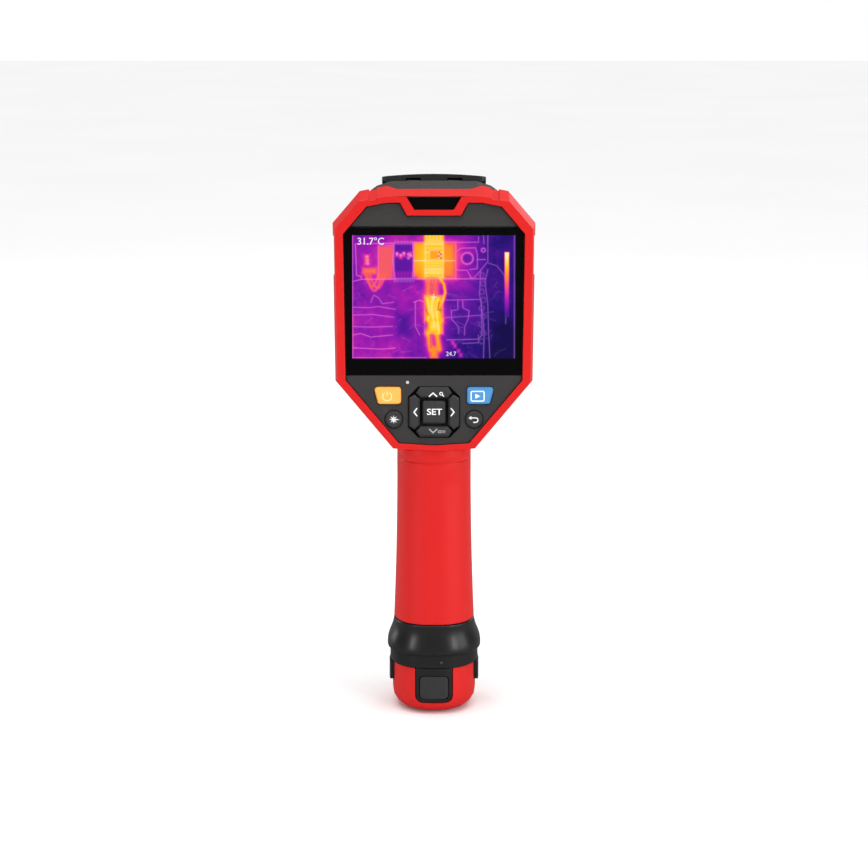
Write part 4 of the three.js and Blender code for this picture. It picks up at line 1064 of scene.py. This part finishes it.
def paint(shape, value):
    """Lays a shape of one temperature over the field."""
    global heat
    heat = heat * (1 - shape) + value * shape


def trace(shape, strength):
    """Lays a pale outline, as from an ordinary camera, over the heat."""
    global relief
    relief = np.maximum(relief, shape * strength)


def glow(shape, amount):
    global heat
    heat = heat + amount * shape


# The row of breakers, with its hot group.
glow(box_shape(20, 45, 930, 305, 8), 0.05)
glow(box_shape(300, 40, 760, 300, 40), 0.10)
paint(box_shape(180, 75, 288, 305), 0.60)
paint(box_shape(290, 48, 425, 300), 0.27)
paint(box_shape(430, 50, 510, 305), 0.72)
paint(box_shape(636, 50, 720, 300, 14), 0.66)
glow(np.exp(-(((U - 575) / 110) ** 2) - ((V - 150) / 130) ** 2), 0.16)
paint(box_shape(500, -20, 640, 305), 0.83)
for y in (60, 120, 180, 240, 262):
    paint(box_shape(505, y - 4, 632, y + 4, 3), 0.90)
paint(box_shape(540, 105, 600, 170, 3), 0.74)
for x, y in ((606, 118), (618, 132), (602, 146), (620, 160)):
    paint(np.exp(-(((U - x) / 6) ** 2) - ((V - y) / 6) ** 2), 0.42)
for x in (312, 338, 360, 392, 408):
    paint(box_shape(x - 9, 118 + (x % 3) * 8, x + 9, 150 + (x % 4) * 7, 4), 0.60)
for x in range(300, 425, 22):
    paint(box_shape(x - 5, 42, x + 5, 62, 3), 0.48)
    paint(box_shape(x - 5, 258, x + 5, 330, 3), 0.45)
paint(box_shape(86, 138, 118, 205, 6), 0.62)
paint(box_shape(70, 228, 172, 272, 6), 0.66)
for start, end, sag in ((100, 215, 120), (118, 240, 100), (90, 190, 90)):
    loop = [
        (start + (end - start) * t, 270 + sag * math.sin(math.pi * min(1, t * 1.05))) for t in np.linspace(0, 1, 12)
    ]
    paint(line_shape(loop, 13, 4), 0.63)

# %% Wires, outlines and the scale
# The hot wires leave the group downwards, one of them in a bow to the right.
paint(box_shape(512, 300, 545, 440, 8), 0.66)
paint(box_shape(556, 300, 600, 420, 10), 0.62)
paint(line_shape([(612, 300), (640, 345), (648, 400), (636, 450), (618, 480)], 17, 4), 0.86)
paint(box_shape(505, 425, 632, 600, 8), 0.80)
paint(box_shape(525, 590, 632, 690, 8), 0.83)
for x0, x1 in ((528, 566), (588, 626)):
    paint(line_shape([(x0, 680), ((x0 + x1) / 2, 800)], 34, 8), 0.80)
paint(box_shape(540, 780, 600, 870, 8), 0.70)
glow(np.exp(-(((U - 560) / 75) ** 2) - ((V - 520) / 260) ** 2), 0.06)
for points in (
    [(520, 440), (535, 520), (528, 600)],
    [(560, 430), (552, 520), (575, 640)],
    [(600, 440), (590, 560), (606, 690)],
):
    paint(line_shape(points, 7, 3), 0.95)
for points in ([(500, 480), (530, 560)], [(545, 700), (548, 790)], [(605, 470), (598, 520)]):
    paint(line_shape(points, 6, 3), 0.52)

outlines = [
    ([(0, 325), (60, 310), (66, 290), (30, 280), (22, 60), (290, 55)], 0.55),
    ([(60, 308), (930, 305)], 0.58),
    ([(290, 60), (282, 180), (298, 300)], 0.56),
    ([(420, 50), (432, 170), (420, 300)], 0.60),
    ([(430, 178), (506, 178)], 0.90),
    ([(640, 178), (720, 178)], 0.80),
    ([(720, 178), (720, 230), (735, 245), (800, 245), (830, 300)], 0.50),
    ([(720, 178), (720, 120), (760, 90), (860, 88), (872, 130), (872, 235), (820, 240)], 0.47),
    ([(650, 50), (880, 48), (880, 10)], 0.44),
    ([(945, 0), (945, 185), (850, 298), (820, 298)], 0.42),
    ([(915, 0), (918, 60)], 0.40),
    ([(870, 170), (930, 170)], 0.50),
    ([(650, 455), (900, 450), (905, 700), (880, 730), (660, 735)], 0.42),
    ([(905, 560), (650, 580)], 0.36),
    ([(735, 455), (738, 520), (690, 530), (694, 590), (740, 640), (742, 690)], 0.44),
    ([(770, 455), (772, 510), (815, 530), (808, 590), (785, 640), (782, 700)], 0.44),
    ([(895, 250), (888, 420), (910, 560), (920, 700), (915, 865)], 0.36),
    ([(945, 240), (925, 330), (945, 480), (950, 660), (960, 865)], 0.33),
    ([(950, 195), (1010, 215), (1060, 280), (1075, 420), (1070, 620)], 0.27),
    ([(0, 505), (120, 508), (180, 500), (300, 520)], 0.46),
    ([(0, 560), (140, 556), (290, 575)], 0.45),
    ([(0, 640), (120, 645), (280, 640)], 0.47),
    ([(0, 700), (60, 690), (130, 715), (280, 700)], 0.50),
    ([(0, 790), (200, 800), (300, 792)], 0.52),
    ([(130, 470), (150, 420), (185, 440), (210, 480), (290, 470)], 0.44),
    ([(430, 470), (470, 455), (505, 470)], 0.55),
    ([(440, 470), (440, 640), (470, 700)], 0.50),
    ([(770, 760), (880, 755), (880, 700)], 0.34),
    ([(1130, 0), (1130, 865)], 0.33),
    ([(3, 0), (3, 865)], 0.50),
    ([(0, 860), (520, 860)], 0.50),
]
for points, value in outlines:
    line = line_shape(points, 3.6, 1.5)
    paint(line * 0.6, value + 0.08)
    trace(line, 0.3 + value)
for x0, y0, x1, y1 in (
    (182, 70, 288, 308),
    (292, 46, 425, 302),
    (432, 48, 508, 306),
    (512, 46, 632, 306),
    (636, 48, 722, 302),
    (540, 105, 600, 170),
    (505, 425, 632, 690),
):
    edge = [(x0, y0), (x1, y0), (x1, y1), (x0, y1), (x0, y0)]
    trace(line_shape(edge, 4.0, 1.8), 0.75)
for y in (30, 60, 88, 196, 214, 232, 250, 268, 286):
    trace(line_shape([(512, y), (632, y + 3)], 3.0, 1.5), 0.6)
for x in range(298, 425, 21):
    trace(ring_shape(x, 52, 7, 4), 0.7)
    trace(ring_shape(x, 318, 6, 4), 0.6)
for x in range(516, 636, 24):
    trace(line_shape([(x, -5), (x + 4, 40)], 5, 2), 0.7)
    trace(line_shape([(x, 306), (x - 3, 330)], 5, 2), 0.5)
dots = [(312, 130), (338, 138), (360, 126), (392, 130), (408, 142), (392, 160), (104, 150), (106, 176), (108, 198)]
for x, y in dots:
    trace(np.exp(-(((U - x) / 9) ** 2) - ((V - y) / 9) ** 2), 1.3)
rng = np.random.default_rng(11)
for _ in range(70):
    x, y = rng.uniform(0, 1040), rng.uniform(320, 860)
    bend = rng.uniform(-40, 40, (3, 2))
    scrap = [(x, y), (x + bend[0, 0], y + bend[0, 1] * 0.3), (x + bend[1, 0] * 1.6, y + bend[1, 1])]
    trace(line_shape(scrap, 2.6, 1.6), rng.uniform(0.12, 0.34))
paint(ring_shape(802, 162, 40, 8), 0.52)
trace(ring_shape(802, 162, 40, 6), 0.8)
trace(ring_shape(914, 104, 13, 5), 0.7)
paint(soft(np.hypot(U - 802, V - 162) - 30, 4), 0.30)
paint(ring_shape(914, 104, 13, 6), 0.56)
for k in range(9):
    trace(ring_shape(903 + 10 * (k % 2), 280 + 58 * k, 17, 5), 0.4)
paint(box_shape(320, 560, 400, 700, 20), 0.20)
paint(box_shape(740, 520, 790, 640, 12), 0.20)
paint(box_shape(320, 300, 440, 330, 12), 0.30)
for x, y in ((690, 740), (705, 765), (730, 800), (746, 830)):
    paint(box_shape(x, y, x + 22, y + 26, 4), 0.52)
scale = box_shape(1062, 118, 1094, 575, 2)
paint(scale, np.clip(1.02 - (V - 118) / 560, 0.24, 1.0))
relief = np.clip(relief * (1 - scale), 0, 1)
heat = np.clip(heat, 0.02, 1.0)
print("heat from", round(float(heat.min()), 2), "to", round(float(heat.max()), 2))


# %% The palette and the lit sheet
def picture_finish():
    """Heat becomes light. Over it lies the gloss of the window."""
    made, tree, skin = new_finish("lit_picture")
    value = add(tree, "ShaderNodeAttribute", attribute_name="warmth").outputs["Fac"]
    place = add(tree, "ShaderNodeTexCoord").outputs["Object"]
    speckle = add(tree, "ShaderNodeTexNoise", {"Vector": place}, Scale=2600.0, Detail=1.0)
    noisy = compute(tree, "MULTIPLY_ADD", speckle.outputs["Fac"], 0.05, value)
    palette = ramp(
        tree,
        compute(tree, "SUBTRACT", noisy, 0.025),
        [
            (0.00, (0.004, 0.002, 0.05)),
            (0.14, (0.022, 0.004, 0.19)),
            (0.28, (0.12, 0.006, 0.36)),
            (0.40, (0.36, 0.009, 0.44)),
            (0.52, (0.78, 0.035, 0.34)),
            (0.62, (0.96, 0.12, 0.08)),
            (0.72, (1.0, 0.30, 0.012)),
            (0.84, (1.0, 0.60, 0.012)),
            (0.93, (1.0, 0.82, 0.20)),
            (1.00, (1.0, 1.0, 0.90)),
        ],
    )
    lines = add(tree, "ShaderNodeAttribute", attribute_name="relief").outputs["Fac"]
    lit = mix_colours(tree, lines, palette, (0.31, 0.14, 0.35), "ADD")
    tree.links.new(lit, skin.inputs["Emission Color"])
    skin.inputs["Emission Strength"].default_value = 1.0
    skin.inputs["Base Color"].default_value = (0.002, 0.002, 0.002, 1)
    skin.inputs["Roughness"].default_value = 0.07
    skin.inputs["IOR"].default_value = 1.35
    return made


PICTURE_DEPTH = -0.04
xs = np.linspace(-PICTURE_HALF, PICTURE_HALF, columns + 1)
hs = np.linspace(PICTURE_TOP, PICTURE_FOOT, rows + 1)
sheet_points = [on_head(x, PICTURE_DEPTH, h) for h in hs for x in xs]
sheet_points += [on_head(x, 0.01, h) for h in (hs[0], hs[-1]) for x in (xs[0], xs[-1])]
wide = columns + 1
sheet_faces = [
    (r * wide + c, (r + 1) * wide + c, (r + 1) * wide + c + 1, r * wide + c + 1)
    for r in range(rows)
    for c in range(columns)
]
tl, tr, bl, br = (wide * (rows + 1) + k for k in range(4))
last = rows * wide
sheet_faces += [
    (tl, tr, br, bl),
    (tl, *range(0, wide), tr),
    (tr, *range(columns, last + wide, wide), br),
    (br, *range(last + wide - 1, last - 1, -1), bl),
    (bl, *range(last, -1, -wide), tl),
]
picture = new_piece(
    "heat_picture", sheet_points, sheet_faces, picture_finish(), "camera_body"
)
for label, field in (("warmth", heat), ("relief", relief)):
    values = np.concatenate([field.reshape(-1), np.zeros(4)]).astype(np.float32)
    attribute = picture.data.attributes.new(label, "FLOAT", "POINT")
    attribute.data.foreach_set("value", values)
print("picture of", columns, "by", rows, "cells")


# %% Readings on the display
def light_ink(name, colour):
    made, tree, skin = new_finish(name)
    place = add(tree, "ShaderNodeTexCoord").outputs["Object"]
    cloud = add(tree, "ShaderNodeTexNoise", {"Vector": place}, Scale=900.0)
    dim = tuple(c * 0.85 for c in colour)
    tree.links.new(ramp(tree, cloud.outputs["Fac"], [(0.3, dim), (0.6, colour)]), skin.inputs["Emission Color"])
    skin.inputs["Emission Strength"].default_value = 1.0
    skin.inputs["Base Color"].default_value = (0.01, 0.01, 0.01, 1)
    return made


lit_white = light_ink("lit_white", (0.95, 0.95, 1.0))
lit_black = light_ink("lit_black", (0.02, 0.02, 0.03))
READING_DEPTH = PICTURE_DEPTH - 0.03
letters(
    "spot_reading", "31.7°C", 4.2, -27.4, 100.2, READING_DEPTH, lit_white, "camera_body", 0.02, 0.02
)
letters("low_reading", "24.7", 2.6, 7.4, 51.6, READING_DEPTH, lit_white, "camera_body", 0.02)


def cursor(name, x, height, finish, size):
    """A small open cross that marks a measured spot."""
    thick = size * 0.3
    strokes = [(arc(x, height, size * 0.5, 0, 330, 11), thick, True)]
    for k in range(4):
        turn = math.radians(90 * k)
        c, s = size * math.cos(turn), size * math.sin(turn)
        strokes.append(([(x + c * reach, height + s * reach) for reach in (0.9, 1.7)], thick, False))
    front, back = READING_DEPTH - 0.01, READING_DEPTH + 0.01
    print_mark(name, strokes, [], finish, "camera_body", front, back)


cursor("spot_cursor", -0.1, 76.2, lit_white, 0.85)
cursor("hot_cursor", 2.7, 70.6, lit_black, 0.7)

# %% [markdown]
# ## The studio
#
# A pale floor and a white room, with soft boxes where they give the moulding its form. Two hang overhead, one
# of which shows only in reflections. A wide one on the right and a narrow one on each side draw the highlights
# on the grip, and two behind the camera body rim its edges. A very soft sun fills the rest. The world and the
# floor are bright for the camera and dim in reflections, so the black window stays black.

# %% Camera
AIM = Vector((0, -0.015, 0.12715))
ELEVATION = math.radians(12)
DISTANCE = 1.0
SENSOR_WIDTH = 36
FOCAL_RATIO = 2290 / 868  # focal length over the sensor's width
camera_data = bpy.data.cameras.new("camera")
camera = bpy.data.objects.new("camera", camera_data)
bpy.context.collection.objects.link(camera)
camera.location = AIM + Vector((0, -math.cos(ELEVATION), math.sin(ELEVATION))) * DISTANCE
camera.rotation_euler = (AIM - camera.location).to_track_quat("-Z", "Y").to_euler()
camera_data.sensor_width = SENSOR_WIDTH
camera_data.lens = FOCAL_RATIO * SENSOR_WIDTH
bpy.context.scene.camera = camera


# %% Floor
def studio_floor():
    reach = 6.0
    mesh = bpy.data.meshes.new("studio_floor")
    corners = [(-reach, -reach, 0), (reach, -reach, 0), (reach, reach, 0), (-reach, reach, 0)]
    mesh.from_pydata(corners, [], [(0, 1, 2, 3)])
    made, tree, skin = new_finish("pale_floor")
    place = add(tree, "ShaderNodeTexCoord").outputs["Object"]
    cloud = add(tree, "ShaderNodeTexNoise", {"Vector": place}, Scale=3.0)
    pale = ramp(tree, cloud.outputs["Fac"], [(0.3, 0.93), (0.7, 0.95)])
    reflected = add(tree, "ShaderNodeLightPath").outputs["Is Glossy Ray"]
    tree.links.new(mix_colours(tree, reflected, pale, (0.16, 0.16, 0.16)), skin.inputs["Base Color"])
    skin.inputs["Roughness"].default_value = 0.9
    skin.inputs["Specular IOR Level"].default_value = 0.0
    mesh.materials.append(made)
    floor = bpy.data.objects.new("studio_floor", mesh)
    bpy.context.collection.objects.link(floor)


studio_floor()


# %% Lights
def soft_box(name, place, size, power, gloss_only=False):
    """A rectangular lamp aimed at the camera's own aim, and not itself seen."""
    data = bpy.data.lights.new(name, "AREA")
    data.shape = "RECTANGLE"
    data.size, data.size_y = size
    data.energy = power
    lamp = bpy.data.objects.new(name, data)
    bpy.context.collection.objects.link(lamp)
    lamp.location = place
    lamp.rotation_euler = (AIM - Vector(place)).to_track_quat("-Z", "Y").to_euler()
    lamp.visible_camera = False
    lamp.visible_diffuse = not gloss_only


def around(azimuth, distance, height):
    """A place at an angle to the right of the camera's direction, in degrees."""
    turn = math.radians(azimuth)
    return (distance * math.sin(turn), -distance * math.cos(turn), height)


soft_box("overhead", (0, 0.05, 1.30), (1.2, 0.9), 4)
soft_box("overhead_gloss", (0, -0.05, 1.25), (1.0, 0.7), 8, gloss_only=True)
soft_box("right_box", around(64, 1.1, 0.35), (0.7, 0.9), 4.6)
soft_box("left_strip", around(-40, 1.3, 0.30), (0.12, 0.5), 3.2)
soft_box("right_strip", around(37, 1.3, 0.30), (0.14, 0.5), 3.6)
soft_box("back_left", around(-125, 1.2, 0.4), (0.5, 0.8), 3.0)
soft_box("back_right", around(150, 1.2, 0.5), (0.6, 0.8), 2.8)

sky_data = bpy.data.lights.new("sky", "SUN")
sky_data.energy = 2.1
sky_data.angle = math.radians(70)
sky = bpy.data.objects.new("sky", sky_data)
bpy.context.collection.objects.link(sky)
sky.rotation_euler = (math.radians(8), 0, 0)

world = bpy.data.worlds.new("white_room")
bpy.context.scene.world = world
world.use_nodes = True
tree = world.node_tree
backdrop = tree.nodes["Background"]
backdrop.inputs["Color"].default_value = (1, 1, 1, 1)
ray = tree.nodes.new("ShaderNodeLightPath")


def choose(test, otherwise, then):
    """One strength of the white room, or another when a ray is of that kind."""
    node = tree.nodes.new("ShaderNodeMix")
    node.data_type = "FLOAT"
    tree.links.new(ray.outputs[test], node.inputs["Factor"])
    node.inputs["B"].default_value = then
    if isinstance(otherwise, float):
        node.inputs["A"].default_value = otherwise
    else:
        tree.links.new(otherwise, node.inputs["A"])
    return node.outputs["Result"]


for_gloss = choose("Is Glossy Ray", 0.32, 0.05)
tree.links.new(choose("Is Camera Ray", for_gloss, 1.0), backdrop.inputs["Strength"])
bpy.context.scene.view_settings.view_transform = "Standard"

# %% Finish
bpy.context.view_layer.update()
